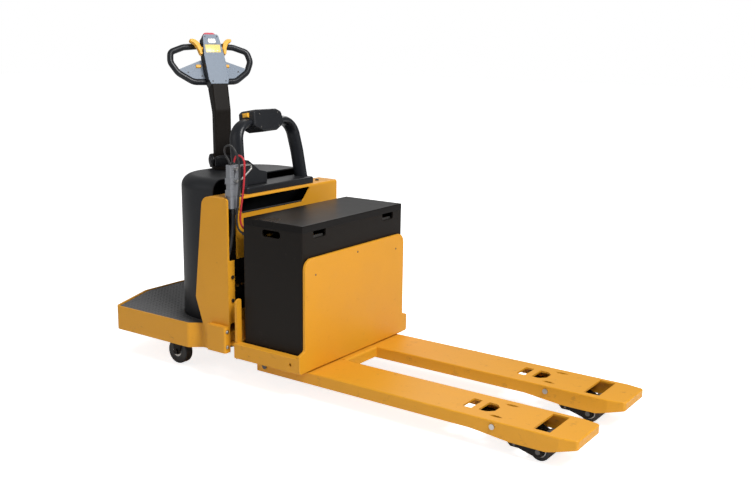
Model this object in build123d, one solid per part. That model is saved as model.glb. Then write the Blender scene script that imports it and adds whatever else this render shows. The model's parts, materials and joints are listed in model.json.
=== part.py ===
from build123d import *
import math
import os

# End-rider electric pallet truck, in millimetres. X points along the forks to their tips,
# Y to the left of a driver who faces the forks, Z up from the floor.
# Every piece is laid out from the backrest's front face (x = 0). HEEL_X then centres the truck.
# The forks are modelled partly raised and the tiller upright, steered a little to the right.

# ---- overall sizes ----
FORK_LENGTH = 1220.0
REAR_LENGTH = 1256.0
HEEL_X = (REAR_LENGTH - FORK_LENGTH) / 2
FORK_TOP = 130.0

# ---- fits ----
RUN = 0.05
SEAT_GAP = 0.3
MOVE_GAP = 2.0

# ---- forks ----
FORK_OVERALL = 692.0
FORK_WIDTH = 228.0
FORK_Y = (FORK_OVERALL - FORK_WIDTH) / 2
FORK_TIP_WIDTH = 202.0
FORK_TAIL = 296.0
FORK_PLATE = 8.0
TAPER_X = FORK_LENGTH - 72.0
NOSE_UNDER = FORK_TOP - 36.0
SKIRT_DEPTH = 52.0
DEEP_DEPTH = 68.0
DEEP_START = 950.0
SKIRT_BEND = 785.0
DEEP_END = 1100.0
HEEL_STEP = 2.0
TRAY_SEAT = 2.0

# ---- load wheels and their arms ----
WHEEL_R = 41.0
WHEEL_WIDTH = 140.0
ARM_LENGTH = 190.0
PIVOT_X = 880.0
PIVOT_Z = FORK_TOP - 24.0
ARM_DROP = PIVOT_Z - WHEEL_R
ARM_REACH = math.sqrt(ARM_LENGTH**2 - ARM_DROP**2)
AXLE_X = PIVOT_X + ARM_REACH
STOWED_X = PIVOT_X + ARM_LENGTH - 0.5
PIVOT_R = 8.0
AXLE_R = 10.0
ARM_PLATE = 10.0
ARM_INNER_Y = WHEEL_WIDTH / 2 + 6.0
LEVER_X = -2.0
LEVER_Z = -24.0
ROD_R = 6.0
EYE_R = 8.0
EYE_WIDTH = 15.0
ROD_PIN_R = 4.5
CRANK_X = -250.0
CRANK_R = 12.0
ENTRY_R = 12.0
ENTRY_X = 80.0
ENTRY_Z = -60.0
ENTRY_PIN_R = 5.0

# ---- battery tray, backrest and battery ----
TRAY_WIDTH = 820.0
TRAY_REAR = -373.0
TRAY_TOP = 205.0
RAIL_UNDER = FORK_TOP + 5.0
TRAY_FLOOR = 10.0
BACKREST_TOP = 625.0
BACKREST_WIDTH = 744.0
BACKREST_THICK = 12.0
LIP_TOP = 216.0
BATTERY_WIDTH = 743.0
BATTERY_FRONT = -16.0
BATTERY_REAR = -343.0
BATTERY_TOP = 765.0
LID_HEIGHT = 30.0
CASE_WALL = 7.0
BATTERY_FLOOR = FORK_TOP + TRAY_FLOOR

# ---- tractor ----
NOSE_X = -418.0
CHEEK_WIDTH = 784.0
TRACTOR_TOP = 840.0
SHEET = 8.0
SKIRT_WIDTH = 839.0
SKIRT_UNDER = 148.0
SKIRT_TOP = 268.0
SKIRT_REAR = -526.0
GUIDE_Y = 370.0
GUIDE_R = 13.0
GUIDE_Z = 185.0
LIFT_UP = 80.0
LIFT_DOWN = 45.0

RAM_X = -490.0
RAM_R = 22.0
CYLINDER_BASE = 110.0

# ---- platform ----
PLATFORM_WIDTH = 820.0
PLATFORM_UNDER = 129.0
PLATFORM_TOP = 245.0
DECK_TOP = 230.0
MAT = 10.0
INNER_FRONT = NOSE_X - SHEET - 14.0

# ---- drive unit, steering axis ----
HUB_X = -800.0
STEER = -25.0
DRIVE_R = 125.0
DRIVE_WIDTH = 80.0
CRADLE_TOP = 274.0
CRADLE_R = 102.0
RACE_R = 84.0
NECK_R = 66.0
RING_HEIGHT = 20.0
MOTOR_SEAT = CRADLE_TOP + RING_HEIGHT + 9
GEAR_FLAT = 253.0
COVER_TOP = 900.0
COVER_HALF = 320.0
COVER_REAR = -912.0
COVER_CORNER = 240.0
COVER_WALL = 5.0
COVER_STEP = -572.0
BASE_UNDER = COVER_TOP + 4
COLUMN_R = 28.0

# ---- casters ----
CASTER_X = -785.0
CASTER_Y = 312.0
CASTER_TRAIL = 28.0
CASTER_R = 60.0
CASTER_WIDTH = 44.0
CASTER_STEM = 10.0

# ---- tiller ----
TILT_X = -29.0
TILT_Z = 940.0
ARM_FRONT = -8.0
ARM_DEEP = 42.0
TILLER_WIDTH = 82.0
ARM_BEND_Z = 1180.0
FACE_X = -42.0
FACE_Z = 1305.0
LEAN = 27.0
HEAD_LENGTH = 268.0
HEAD_DEPTH = 66.0
HEAD_WALL = 4.0
HEAD_HALF = [(-41, 0, 0), (-50, 26, 10), (-50, 150, 30), (-38, HEAD_LENGTH - 8, 12)]
LOOP_R = 15.0
LOOP_BACK = 58.0
LOOP_HALF = 205.0
THROTTLE_U = 192.0
THROTTLE_X = -18.0
THROTTLE_R = 8.0

# ---- grab bar ----
GRAB_X = -500.0
GRAB_HALF = 212.0
GRAB_TOP = 1142.0
GRAB_LEAN = 10.0
GRAB_DEEP = 74.0
GRAB_THICK = 42.0
PAD_TOP = TRACTOR_TOP + 30.0

# ---- leads and connector ----
PLUG_X = -425.0
PLUG_Y = -347.0
PLUG_SPLIT = 890.0
PLUG_TOP = 985.0
PLUG_BOTTOM = 795.0
LEAD_D = 9.0
CABLE_D = 18.0
LEAD_STEP = 11.0
LEAD_EXIT_Z = (704.0, 692.0)
CELL_TOP = 676.0


def slab(x0, x1, y0, y1, z0, z1):
    """A box between two corners."""
    return Pos((x0 + x1) / 2, (y0 + y1) / 2, (z0 + z1) / 2) * Box(x1 - x0, y1 - y0, z1 - z0)


def rod_x(x0, x1, y, z, radius):
    """A round bar along X."""
    return Pos((x0 + x1) / 2, y, z) * Rot(0, 90, 0) * Cylinder(radius, x1 - x0)


def rod_y(x, y0, y1, z, radius):
    """A round bar along Y."""
    return Pos(x, (y0 + y1) / 2, z) * Rot(90, 0, 0) * Cylinder(radius, y1 - y0)


def rod_z(x, y, z0, z1, radius):
    """A round bar along Z."""
    return Pos(x, y, (z0 + z1) / 2) * Cylinder(radius, z1 - z0)


def outline(corners):
    """A flat face through (a, b, radius) corners."""
    face = make_face(Polyline(*[(a, b) for a, b, _ in corners], close=True))
    for a, b, radius in corners:
        if radius > 0:
            corner = face.vertices().sort_by_distance(Vector(a, b, 0))[0]
            face = fillet(corner, radius)
    return face


def plan(corners, z0, z1):
    """A plate seen from above, between two heights."""
    return Pos(0, 0, z0) * extrude(outline(corners), z1 - z0)


def side(corners, y0, y1):
    """A plate seen from the side (x, z), between two places along Y."""
    plate = extrude(outline(corners), y1 - y0)
    return Pos(0, y1, 0) * Rot(90, 0, 0) * plate


def front(corners, x0, x1):
    """A plate seen from the front (y, z), between two places along X."""
    plate = extrude(outline(corners), x1 - x0)
    return Pos(x0, 0, 0) * (Plane.YZ * plate)


def mirrored(half):
    """Corners of a symmetric outline from its right half, given as (x, y, radius)."""
    return half + [(x, -y, radius) for x, y, radius in reversed(half)]


# ---------------------------------------------------------------- lifting frame


def fork(hand):
    """A folded steel channel, open below, with windows over the wheel gear."""
    half = FORK_WIDTH / 2
    tip = FORK_TIP_WIDTH / 2
    under = FORK_TOP - SKIRT_DEPTH
    deep = FORK_TOP - DEEP_DEPTH
    body = plan(mirrored([(-FORK_TAIL, -half, 0), (TAPER_X, -half, 40), (FORK_LENGTH, -tip, 14)]), deep, FORK_TOP)
    profile = side(
        [
            (-FORK_TAIL, under, 0),
            (SKIRT_BEND, under, 60),
            (DEEP_START, deep, 60),
            (DEEP_END, deep, 30),
            (FORK_LENGTH, NOSE_UNDER, 4),
            (FORK_LENGTH, FORK_TOP, 0),
            (-FORK_TAIL, FORK_TOP, 0),
        ],
        -half,
        half,
    )
    rim = [e for e in body.faces().sort_by(Axis.Z)[-1].edges() if e.center().X > -FORK_TAIL + 1]
    body = fillet(rim, 6) & profile
    inner = half - FORK_PLATE
    inner_tip = tip - FORK_PLATE
    hollow = mirrored([(-FORK_TAIL - 1, -inner, 0), (TAPER_X - 10, -inner, 0), (FORK_LENGTH - 30, -inner_tip, 0)])
    body -= plan(hollow, 0, FORK_TOP - FORK_PLATE)
    body -= plan([(712, -48, 4), (752, -48, 4), (752, 48, 4), (712, 48, 4)], 0, FORK_TOP + 1)
    body -= plan([(782, -46, 4), (818, -46, 22), (842, -22, 14), (842, 22, 14), (818, 46, 22), (782, 46, 4)],
                 0, FORK_TOP + 1)
    for edge in (-1, 1):
        slot = [(842, edge * 70, 0), (856, edge * 60, 0), (876, edge * 60, 0), (902, edge * 70, 0), (880, edge * 76, 0),
                (862, edge * 76, 0)]
        body -= plan(slot, FORK_TOP - FORK_PLATE - 1, FORK_TOP + 1)
    body -= slab(STOWED_X - 34, STOWED_X + 34, -88, 88, FORK_TOP - FORK_PLATE - 1, FORK_TOP + 1)
    body -= slab(-FORK_TAIL - 1, HEEL_STEP, -half - 1, half + 1, FORK_TOP - TRAY_SEAT, FORK_TOP + 1)
    body -= rod_y(PIVOT_X, -half - 1, half + 1, PIVOT_Z, PIVOT_R)
    body -= rod_y(CRANK_X, -half - 1, half + 1, PIVOT_Z, CRANK_R + RUN)
    return Pos(0, hand * FORK_Y, 0) * body


def fork_pins():
    """A cross pin with round heads through each fork's skirts."""
    pins = []
    for hand in (-1, 1):
        y = hand * FORK_Y
        half = FORK_WIDTH / 2
        pin = rod_y(PIVOT_X, y - half - 5, y + half + 5, PIVOT_Z, PIVOT_R)
        for end in (-1, 1):
            pin += rod_y(PIVOT_X, y + end * (half + 3) - 3, y + end * (half + 3) + 3, PIVOT_Z, PIVOT_R + 3)
        pins.append(pin)
    return pins


def load_arm(hand):
    """Two plates on a tube, which swing the load wheel down; a lever below takes the pull rod."""
    corners = [
        (-15, 6, 8),
        (-15, -14, 8),
        (20, -26, 20),
        (ENTRY_X - 16, ENTRY_Z - 10, 8),
        (ENTRY_X + 18, ENTRY_Z - 10, 8),
        (ARM_REACH - 20, -ARM_DROP - 21, 14),
        (ARM_REACH + 21, -ARM_DROP - 18, 16),
        (ARM_REACH + 21, -ARM_DROP + 20, 16),
        (ARM_REACH - 24, -ARM_DROP + 23, 16),
        (30, 6, 20),
    ]
    arm = rod_y(0, -ARM_INNER_Y, ARM_INNER_Y, 0, PIVOT_R + 6)
    for edge in (-1, 1):
        inner = edge * ARM_INNER_Y
        outer = edge * (ARM_INNER_Y + ARM_PLATE)
        arm += side(corners, min(inner, outer), max(inner, outer))
        ear = side([(-10, 0, 0), (-11, LEVER_Z - 7, 6), (7, LEVER_Z - 7, 6), (10, 0, 0)], 0, 6)
        arm += Pos(0, edge * (EYE_WIDTH / 2 + 0.5) - (6 if edge < 0 else 0), 0) * ear
    arm += rod_y(LEVER_X, -EYE_WIDTH / 2 - 2, EYE_WIDTH / 2 + 2, LEVER_Z, ROD_PIN_R)
    arm -= rod_y(0, -ARM_INNER_Y - 20, ARM_INNER_Y + 20, 0, PIVOT_R + RUN)
    arm -= rod_y(ARM_REACH, -ARM_INNER_Y - 20, ARM_INNER_Y + 20, -ARM_DROP, AXLE_R)
    arm -= rod_y(ENTRY_X, -ARM_INNER_Y - 20, ARM_INNER_Y + 20, ENTRY_Z, ENTRY_PIN_R)
    return Pos(PIVOT_X, hand * FORK_Y, PIVOT_Z) * arm


def load_axle(hand):
    """The load wheel's axle with its end heads."""
    y = hand * FORK_Y
    reach = ARM_INNER_Y + ARM_PLATE + 4
    return rod_y(AXLE_X, y - reach, y + reach, WHEEL_R, AXLE_R)


def load_wheel(hand):
    """A wide polyurethane load wheel on its axle."""
    y = hand * FORK_Y
    wheel = rod_y(AXLE_X, y - WHEEL_WIDTH / 2, y + WHEEL_WIDTH / 2, WHEEL_R, WHEEL_R)
    wheel = fillet(wheel.edges().filter_by(GeomType.CIRCLE), 3)
    return wheel - rod_y(AXLE_X, y - WHEEL_WIDTH, y + WHEEL_WIDTH, WHEEL_R, AXLE_R + RUN)


def entry_roller(hand):
    """The small roller that helps the fork over a pallet's boards."""
    y = hand * FORK_Y
    x = PIVOT_X + ENTRY_X
    z = PIVOT_Z + ENTRY_Z
    half = ARM_INNER_Y - 1
    return rod_y(x, y - half, y + half, z, ENTRY_R) - rod_y(x, y - 200, y + 200, z, ENTRY_PIN_R + RUN)


def entry_pin(hand):
    """The small roller's pin, through both arm plates."""
    y = hand * FORK_Y
    reach = ARM_INNER_Y + ARM_PLATE + 2
    return rod_y(PIVOT_X + ENTRY_X, y - reach, y + reach, PIVOT_Z + ENTRY_Z, ENTRY_PIN_R)


def pull_rod(hand):
    """The rod that ties the heel crank to the load wheel arm."""
    y = hand * FORK_Y
    z = PIVOT_Z + LEVER_Z
    ends = (CRANK_X + LEVER_X, PIVOT_X + LEVER_X)
    rod = rod_x(ends[0], ends[1], y, z, ROD_R)
    for x in ends:
        rod += rod_y(x, y - EYE_WIDTH / 2, y + EYE_WIDTH / 2, z, EYE_R)
    for x in ends:
        rod -= rod_y(x, y - EYE_WIDTH, y + EYE_WIDTH, z, ROD_PIN_R + RUN)
    return rod


def heel_crank():
    """A shaft across both forks with a double lever over each pull rod."""
    span = FORK_OVERALL / 2 + 6
    crank = rod_y(CRANK_X, -span, span, PIVOT_Z, CRANK_R)
    for hand in (-1, 1):
        for edge in (-1, 1):
            ear = side([(-11, 4, 4), (-12, LEVER_Z - 7, 6), (8, LEVER_Z - 7, 6), (11, 4, 4)], -3, 3)
            crank += Pos(CRANK_X, hand * FORK_Y + edge * (EYE_WIDTH / 2 + 3.5), PIVOT_Z) * ear
        y = hand * FORK_Y
        crank += rod_y(CRANK_X + LEVER_X, y - EYE_WIDTH / 2 - 2, y + EYE_WIDTH / 2 + 2, PIVOT_Z + LEVER_Z, ROD_PIN_R)
    return crank


def heel_crossmember():
    """The plate that joins both forks under the tray, with a rounded front."""
    half = FORK_Y - FORK_WIDTH / 2
    corners = [(-FORK_TAIL, FORK_TOP, 0), (-FORK_TAIL, FORK_TOP - 10, 0), (18, FORK_TOP - 10, 0), (18, 84, 0), (28, 84, 0),
               (28, FORK_TOP, 10)]
    return side(corners, -half, half)


def battery_tray():
    """A welded tray: a floor plate, two hollow side rails and a rear wall."""
    half = TRAY_WIDTH / 2
    rail_inner = BATTERY_WIDTH / 2 + 6
    rear = TRAY_REAR
    face = -BACKREST_THICK
    tray = slab(rear, face, -half + 20, half - 20, FORK_TOP - TRAY_SEAT, FORK_TOP + TRAY_FLOOR)
    for edge in (-1, 1):
        inner, outer = sorted((edge * rail_inner, edge * half))
        rail = slab(rear, face, inner, outer, RAIL_UNDER, TRAY_TOP)
        long_edges = [e for e in rail.edges().filter_by(Axis.X) if abs(abs(e.center().Y) - half) < 0.1]
        tray += fillet(long_edges, 5)
    tray += slab(rear, rear + SHEET, -half + 10, half - 10, FORK_TOP, TRAY_TOP)
    for edge in (-1, 1):
        inner, outer = sorted((edge * (rail_inner + 6), edge * (half - 6)))
        tray -= slab(rear + SHEET, face - SHEET, inner, outer, FORK_TOP - 1, TRAY_TOP - 6)
        tray -= rod_y(-52, edge * half - 30, edge * half + 30, 171, 7)
    return tray


def backrest():
    """The load backrest plate in front of the battery, with a wide lip at its foot."""
    lip = TRAY_WIDTH / 2
    half = BACKREST_WIDTH / 2
    right = [(-lip, RAIL_UNDER, 12), (-lip, LIP_TOP, 10), (-half, LIP_TOP + 14, 12), (-half, BACKREST_TOP, 46)]
    plate = front([(-y, z, r) for y, z, r in right] + [(y, z, r) for y, z, r in reversed(right)], -BACKREST_THICK, 0)
    face_edges = plate.faces().sort_by(Axis.X)[-1].edges()
    plate = fillet(face_edges, 3)
    for y, z in ((-300, 550), (0, 597), (305, 559)):
        plate -= rod_x(-20, 5, y, z, 5)
    return plate


def guide_posts():
    """Upright plates at the tray's rear corners, which carry the guide pins."""
    posts = []
    for edge in (-1, 1):
        corners = [(edge * 372, TRAY_TOP, 0), (edge * 402, TRAY_TOP, 0), (edge * 402, 402, 22), (edge * 372, 402, 6)]
        posts.append(front(corners, TRAY_REAR, TRAY_REAR + 12))
    return posts


def guide_pins():
    """Pins that reach from the tray's rear wall into the bulkhead's slots."""
    pins = []
    for edge in (-1, 1):
        pin = rod_x(NOSE_X - SHEET - 8, TRAY_REAR, edge * GUIDE_Y, GUIDE_Z, GUIDE_R)
        pin += rod_x(TRAY_REAR - 14, TRAY_REAR, edge * GUIDE_Y, GUIDE_Z, GUIDE_R + 5)
        pins.append(pin)
    return pins


def ram_bracket():
    """The upright web and shelf that the lift ram pushes against."""
    web = slab(TRAY_REAR, TRAY_REAR + 12, -45, 45, TRAY_TOP, 420)
    shelf = slab(RAM_X - 36, TRAY_REAR, -45, 45, 400, 420)
    shelf += slab(NOSE_X - 60, TRAY_REAR, -6, 6, 420, 452)
    return web + shelf


def battery_case():
    """The steel battery case, open at the top, with hand holes."""
    half = BATTERY_WIDTH / 2
    top = BATTERY_TOP - LID_HEIGHT
    case = slab(BATTERY_REAR, BATTERY_FRONT, -half, half, BATTERY_FLOOR, top)
    case = fillet(case.edges().filter_by(Axis.Z), 5)
    case -= slab(BATTERY_REAR + CASE_WALL, BATTERY_FRONT - CASE_WALL, -half + CASE_WALL, half - CASE_WALL,
                 BATTERY_FLOOR + CASE_WALL, top + 1)
    for y in (-255, 255):
        hole = [(y - 43, 703, 8), (y + 43, 703, 8), (y + 43, top + 1, 0), (y - 43, top + 1, 0)]
        case -= front(hole, BATTERY_FRONT - CASE_WALL - 1, BATTERY_FRONT + 1)
    for turn, z in zip((1, -1), LEAD_EXIT_Z):
        y = PLUG_Y + turn * LEAD_STEP
        case -= rod_x(BATTERY_REAR - 1, BATTERY_REAR + CASE_WALL + 1, y, z, LEAD_D / 2 + SEAT_GAP)
    for edge in (-1, 1):
        oval = side([(-235, 697, 12), (-135, 697, 12), (-135, 728, 12), (-235, 728, 12)], -CASE_WALL - 1, CASE_WALL + 1)
        case -= Pos(0, edge * half, 0) * oval
    return case


def battery_cells():
    """Two rows of traction cells with vent caps."""
    half = BATTERY_WIDTH / 2 - CASE_WALL - 2
    x0 = BATTERY_REAR + CASE_WALL + 2
    x1 = BATTERY_FRONT - CASE_WALL - 2
    z0 = BATTERY_FLOOR + CASE_WALL
    gap = 2.0
    count = 6
    width = (2 * half - gap * (count - 1)) / count
    deep = (x1 - x0 - gap) / 2
    cells = []
    for row in range(2):
        for place in range(count):
            x = x0 + row * (deep + gap)
            y = -half + place * (width + gap)
            cell = slab(x, x + deep, y, y + width, z0, CELL_TOP)
            cell += rod_z(x + deep / 2, y + width / 2, CELL_TOP, CELL_TOP + 12, 14)
            cells.append(cell)
    return cells


def battery_lid():
    """The battery's steel cover, whose side walls sit on the case."""
    half = BATTERY_WIDTH / 2
    z0 = BATTERY_TOP - LID_HEIGHT + SEAT_GAP
    lid = slab(BATTERY_REAR, BATTERY_FRONT, -half, half, z0, BATTERY_TOP)
    rims = lid.edges().filter_by(Axis.Z) + lid.faces().sort_by(Axis.Z)[-1].edges()
    lid = fillet(rims, 4)
    lid -= slab(BATTERY_REAR + 5, BATTERY_FRONT - 5, -half + 5, half - 5, 0, BATTERY_TOP - 5)
    return lid


# ---------------------------------------------------------------- tractor


def chassis():
    """Folded sheet body: bulkhead, top sheet, side cheeks and the wide lower skirt."""
    half = CHEEK_WIDTH / 2
    cheek = [
        (NOSE_X, SKIRT_UNDER, 0),
        (SKIRT_REAR, SKIRT_UNDER, 0),
        (-579, 256, 0),
        (-620, 373, 20),
        (-582, 708, 60),
        (-567, TRACTOR_TOP, 44),
        (NOSE_X, TRACTOR_TOP, 12),
    ]
    body = side(cheek, -half, half)
    body -= slab(-800, NOSE_X - SHEET, -half + SHEET, half - SHEET, 0, TRACTOR_TOP - SHEET)
    wide = SKIRT_WIDTH / 2
    skirt = slab(SKIRT_REAR, NOSE_X, -wide, wide, SKIRT_UNDER, SKIRT_TOP)
    corner = [e for e in skirt.edges().filter_by(Axis.Z) if e.center().X > SKIRT_REAR + 1]
    skirt = fillet(corner, 10)
    skirt -= slab(SKIRT_REAR - 1, NOSE_X - SHEET, -half + SHEET, half - SHEET, 0, 400)
    for edge in (-1, 1):
        inner, outer = sorted((edge * (half), edge * (wide - SHEET)))
        skirt -= slab(SKIRT_REAR + SHEET, NOSE_X - SHEET, inner, outer, 0, SKIRT_TOP - SHEET)
    body += skirt
    return body - bulkhead_openings()


def bulkhead_openings():
    """The holes in the bulkhead: guide slots, centre opening, cable notch and top window."""
    deep = (NOSE_X - SHEET - 4, NOSE_X + 1)
    cuts = front([(-350, 330, 10), (350, 330, 10), (350, 566, 10), (-350, 566, 10)], *deep)
    for edge in (-1, 1):
        outer = edge * (GUIDE_Y + GUIDE_R + MOVE_GAP)
        slot = [(outer, 100, 0), (outer, GUIDE_Z + LIFT_UP + GUIDE_R + MOVE_GAP, 14),
                (edge * 300, GUIDE_Z + LIFT_UP + GUIDE_R + MOVE_GAP, 0), (edge * 300, 100, 0)]
        cuts += front(slot, *deep)
    cuts += front([(-382, 562, 10), (-330, 562, 4), (-330, 760, 0), (-312, 780, 0), (-312, 841, 0), (-382, 841, 0)], *deep)
    cuts += slab(-448, NOSE_X + 1, -382, -312, TRACTOR_TOP - SHEET - 1, TRACTOR_TOP + 1)
    cuts += front([(-300, 768, 10), (132, 768, 26), (186, 829, 8), (-300, 829, 4)], *deep)
    return cuts


def platform_half():
    """The platform's plan, right half."""
    rear = -REAR_LENGTH
    half = PLATFORM_WIDTH / 2
    return [(rear, -128, 70), (-1146, -half, 26), (-660, -half, 24), (-604, -366, 24), (SKIRT_REAR - 8, -366, 0)]


def inset(corners, by):
    """Platform corners moved in towards the middle."""
    moved = []
    for x, y, radius in corners:
        step = by if x < -1000 else (-by if x > -560 else 0)
        moved.append((x + step, y + (by if y < 0 else -by), max(radius - by, 0)))
    return moved


def platform_frame():
    """The driver's low platform: a bent rim round a deck plate, with the drive wheel's hole."""
    half = platform_half()
    body = plan(mirrored(half), PLATFORM_UNDER, PLATFORM_TOP)
    inner = mirrored(inset(half, SHEET))
    body -= plan(inner, DECK_TOP, PLATFORM_TOP + 1)
    body -= plan(inner, PLATFORM_UNDER - 1, DECK_TOP - SHEET)
    cheek = CHEEK_WIDTH / 2 - SHEET
    body += slab(-560, INNER_FRONT, -cheek, cheek, DECK_TOP - SHEET, DECK_TOP)
    body -= rod_z(HUB_X, 0, 100, 300, CRADLE_R - SHEET)
    body -= rod_z(RAM_X, 0, 100, 300, 38)
    body -= slab(SKIRT_REAR - 17, SKIRT_REAR, -cheek, cheek, DECK_TOP, PLATFORM_TOP + 1)
    for hand in (-1, 1):
        y = hand * CASTER_Y
        block = slab(CASTER_X - 70, CASTER_X + 75, y - 46, y + 46, 168, DECK_TOP - SHEET)
        block = fillet(block.edges().filter_by(Axis.Z), 8)
        body += block - rod_z(CASTER_X, y, 160, 210, CASTER_STEM + RUN)
    return body


def platform_mat():
    """The tread mat on the deck, cut round the motor cover."""
    z0 = DECK_TOP
    mat = plan(mirrored(inset(platform_half(), SHEET + 2)), z0, z0 + MAT)
    foot = [(-500, -COVER_HALF - 2, 0), (COVER_REAR - 2, -COVER_HALF - 2, COVER_CORNER)]
    mat -= plan(mirrored(foot), z0 - 1, z0 + MAT + 1)
    mat -= slab(-608, -400, -400, 400, z0 - 1, z0 + MAT + 1)
    return mat


def cover_shape(grow, z0, z1, top_round):
    """The motor cover's body: a wide U with a rounded rear and rounded top edges."""
    half = COVER_HALF + grow
    corners = mirrored([(COVER_STEP - grow, -half, 0), (COVER_REAR - grow, -half, COVER_CORNER + grow)])
    body = plan(corners, z0, z1)
    rim = [e for e in body.faces().sort_by(Axis.Z)[-1].edges() if e.center().X < COVER_STEP - grow - 1]
    return fillet(rim, top_round)


def motor_cover():
    """The moulded cover over the drive motor, with a collar hole for the steering column."""
    wall = COVER_WALL
    cover = cover_shape(0, DECK_TOP, COVER_TOP, 55)
    under = TRACTOR_TOP - SHEET - 4
    flange = CHEEK_WIDTH / 2 - SHEET - SEAT_GAP
    cover += slab(COVER_STEP, COVER_STEP + 15, -COVER_HALF, COVER_HALF, DECK_TOP, under)
    cover += slab(COVER_STEP + 9, COVER_STEP + 15, -flange, flange, PLATFORM_TOP + SEAT_GAP, under)
    cover -= cover_shape(-wall, DECK_TOP - 1, COVER_TOP - wall, 50)
    hollow = COVER_HALF - wall
    cover -= slab(COVER_STEP - wall - 1, COVER_STEP + 16, -hollow, hollow, DECK_TOP - 1, under - wall)
    return cover - rod_z(HUB_X, 0, COVER_TOP - 60, COVER_TOP + 10, COLUMN_R + 12)


def top_pad():
    """The black pad along the tractor's top, behind the window, between the grab bar's feet."""
    pad = slab(-560, -436, -238, 238, TRACTOR_TOP, PAD_TOP)
    pad = fillet(pad.edges().filter_by(Axis.Z), 16)
    return fillet(pad.faces().sort_by(Axis.Z)[-1].edges(), 8)


def grab_bar(grow=0.0):
    """The driver's grab bar: an oval tube in a leaning plane, thickened by grow for cutting its clamps."""
    rise = (GRAB_TOP - PAD_TOP) / math.cos(math.radians(GRAB_LEAN))
    half = GRAB_HALF
    frame = Plane(origin=(GRAB_X, 0, PAD_TOP), x_dir=(0, 1, 0),
                  z_dir=(math.cos(math.radians(GRAB_LEAN)), 0, math.sin(math.radians(GRAB_LEAN))))
    points = [(-half, -9), (-half + 4, rise * 0.45), (-half + 22, rise), (half - 22, rise), (half - 4, rise * 0.45), (half, -9)]
    path = frame * FilletPolyline(*points, radius=[300, 84, 84, 300])
    start = Plane(origin=path @ 0, x_dir=frame.z_dir, z_dir=path % 0)
    bar = sweep(start * Ellipse(GRAB_DEEP / 2 + grow, GRAB_THICK / 2 + grow), path=path)
    return bar - slab(GRAB_X - 200, GRAB_X + 200, -400, 400, PAD_TOP - 100, PAD_TOP)


def pod_frame():
    """The leaning frame at the middle of the grab bar's top."""
    back = (GRAB_TOP - PAD_TOP) * math.tan(math.radians(GRAB_LEAN))
    return Pos(GRAB_X - back, -14, GRAB_TOP) * Rot(0, -GRAB_LEAN, 0)


def jog_pod(bar):
    """The switch housing clamped round the middle of the grab bar."""
    shape = front([(-104, -18, 14), (-48, -46, 20), (48, -46, 20), (104, -18, 14), (92, 40, 22), (58, 54, 16),
                   (-78, 56, 10), (-97, 46, 8)], -50, 50)
    ends = shape.faces().filter_by(Axis.X)
    shape = fillet(ends[0].edges() + ends[1].edges(), 9)
    shape -= slab(-18, 18, -111, -79.5, 24, 45.5)
    return pod_frame() * shape - bar


def jog_button():
    """The yellow jog button in the pod's right end."""
    button = slab(-17.5, 17.5, -107, -84, 24.5, 45)
    return pod_frame() * fillet(button.faces().sort_by(Axis.Y)[0].edges(), 5)


def key_box(bar):
    """The housing at the grab bar's right foot that holds the key switch."""
    box = front([(-204, PAD_TOP, 0), (-62, PAD_TOP, 6), (-62, 922, 10), (-112, 934, 20), (-186, 985, 10), (-204, 985, 4)],
                -536, -474)
    ends = box.faces().filter_by(Axis.X)
    box = fillet(ends[0].edges().filter_by(GeomType.LINE) + ends[1].edges().filter_by(GeomType.LINE), 4)
    return box - bar


def top_bolts():
    """Bolt heads on the tractor's top and on the bulkhead flanges."""
    bolts = [rod_z(-470, y, TRACTOR_TOP, TRACTOR_TOP + 7, 9) for y in (-300, 300)]
    for edge in (-1, 1):
        for z in (383, 489):
            bolts.append(rod_x(NOSE_X, NOSE_X + 6, edge * 366, z, 8))
    return bolts


def drive_cradle():
    """A raised ring plate on the deck that carries the steering bearing."""
    cradle = rod_z(HUB_X, 0, DECK_TOP, CRADLE_TOP, CRADLE_R)
    cradle -= rod_z(HUB_X, 0, DECK_TOP - 1, CRADLE_TOP - 12, CRADLE_R - SHEET)
    return cradle - rod_z(HUB_X, 0, 200, 300, NECK_R + 10)


def ring(inner, outer, z0, z1):
    """A flat ring round the steering axis."""
    return rod_z(HUB_X, 0, z0, z1, outer) - rod_z(HUB_X, 0, z0 - 1, z1 + 1, inner)


def bearing_outer():
    """The steering bearing's fixed ring."""
    return ring(RACE_R + RUN, CRADLE_R, CRADLE_TOP, CRADLE_TOP + RING_HEIGHT)


def steered(piece):
    """Turn a piece that was built straight ahead to the steered position."""
    return Pos(HUB_X, 0, 0) * Rot(0, 0, STEER) * piece


def bearing_inner():
    """The steering bearing's turning ring, held down by a lip over the fixed one."""
    top = CRADLE_TOP + RING_HEIGHT
    inner = rod_z(0, 0, CRADLE_TOP + 1, top + 1, RACE_R)
    inner += rod_z(0, 0, top + SEAT_GAP, MOTOR_SEAT, CRADLE_R - 4)
    return steered(inner - rod_z(0, 0, 200, 400, NECK_R))


def gearbox():
    """The reduction gear: a neck through the bearing and a leg down beside the wheel."""
    body = rod_z(0, 0, GEAR_FLAT, MOTOR_SEAT + 24, NECK_R)
    body += rod_z(0, 0, MOTOR_SEAT, MOTOR_SEAT + 24, RACE_R)
    body += rod_z(0, 0, GEAR_FLAT, GEAR_FLAT + 8, RACE_R + 4)
    body += slab(-36, 36, 52, 80, DRIVE_R, GEAR_FLAT + 4)
    body += rod_y(0, 52, 80, DRIVE_R, 58)
    body += rod_y(0, 46, 54, DRIVE_R, 30)
    body -= rod_y(0, 20, 70, DRIVE_R, 18)
    return steered(body)


def drive_motor():
    """The upright traction motor with cooling ribs."""
    z0 = MOTOR_SEAT + 24
    motor = rod_z(0, 0, z0, z0 + 180, 78)
    for turn in range(12):
        motor += Rot(0, 0, turn * 30) * slab(74, 84, -3, 3, z0 + 25, z0 + 155)
    return steered(motor)


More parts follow.
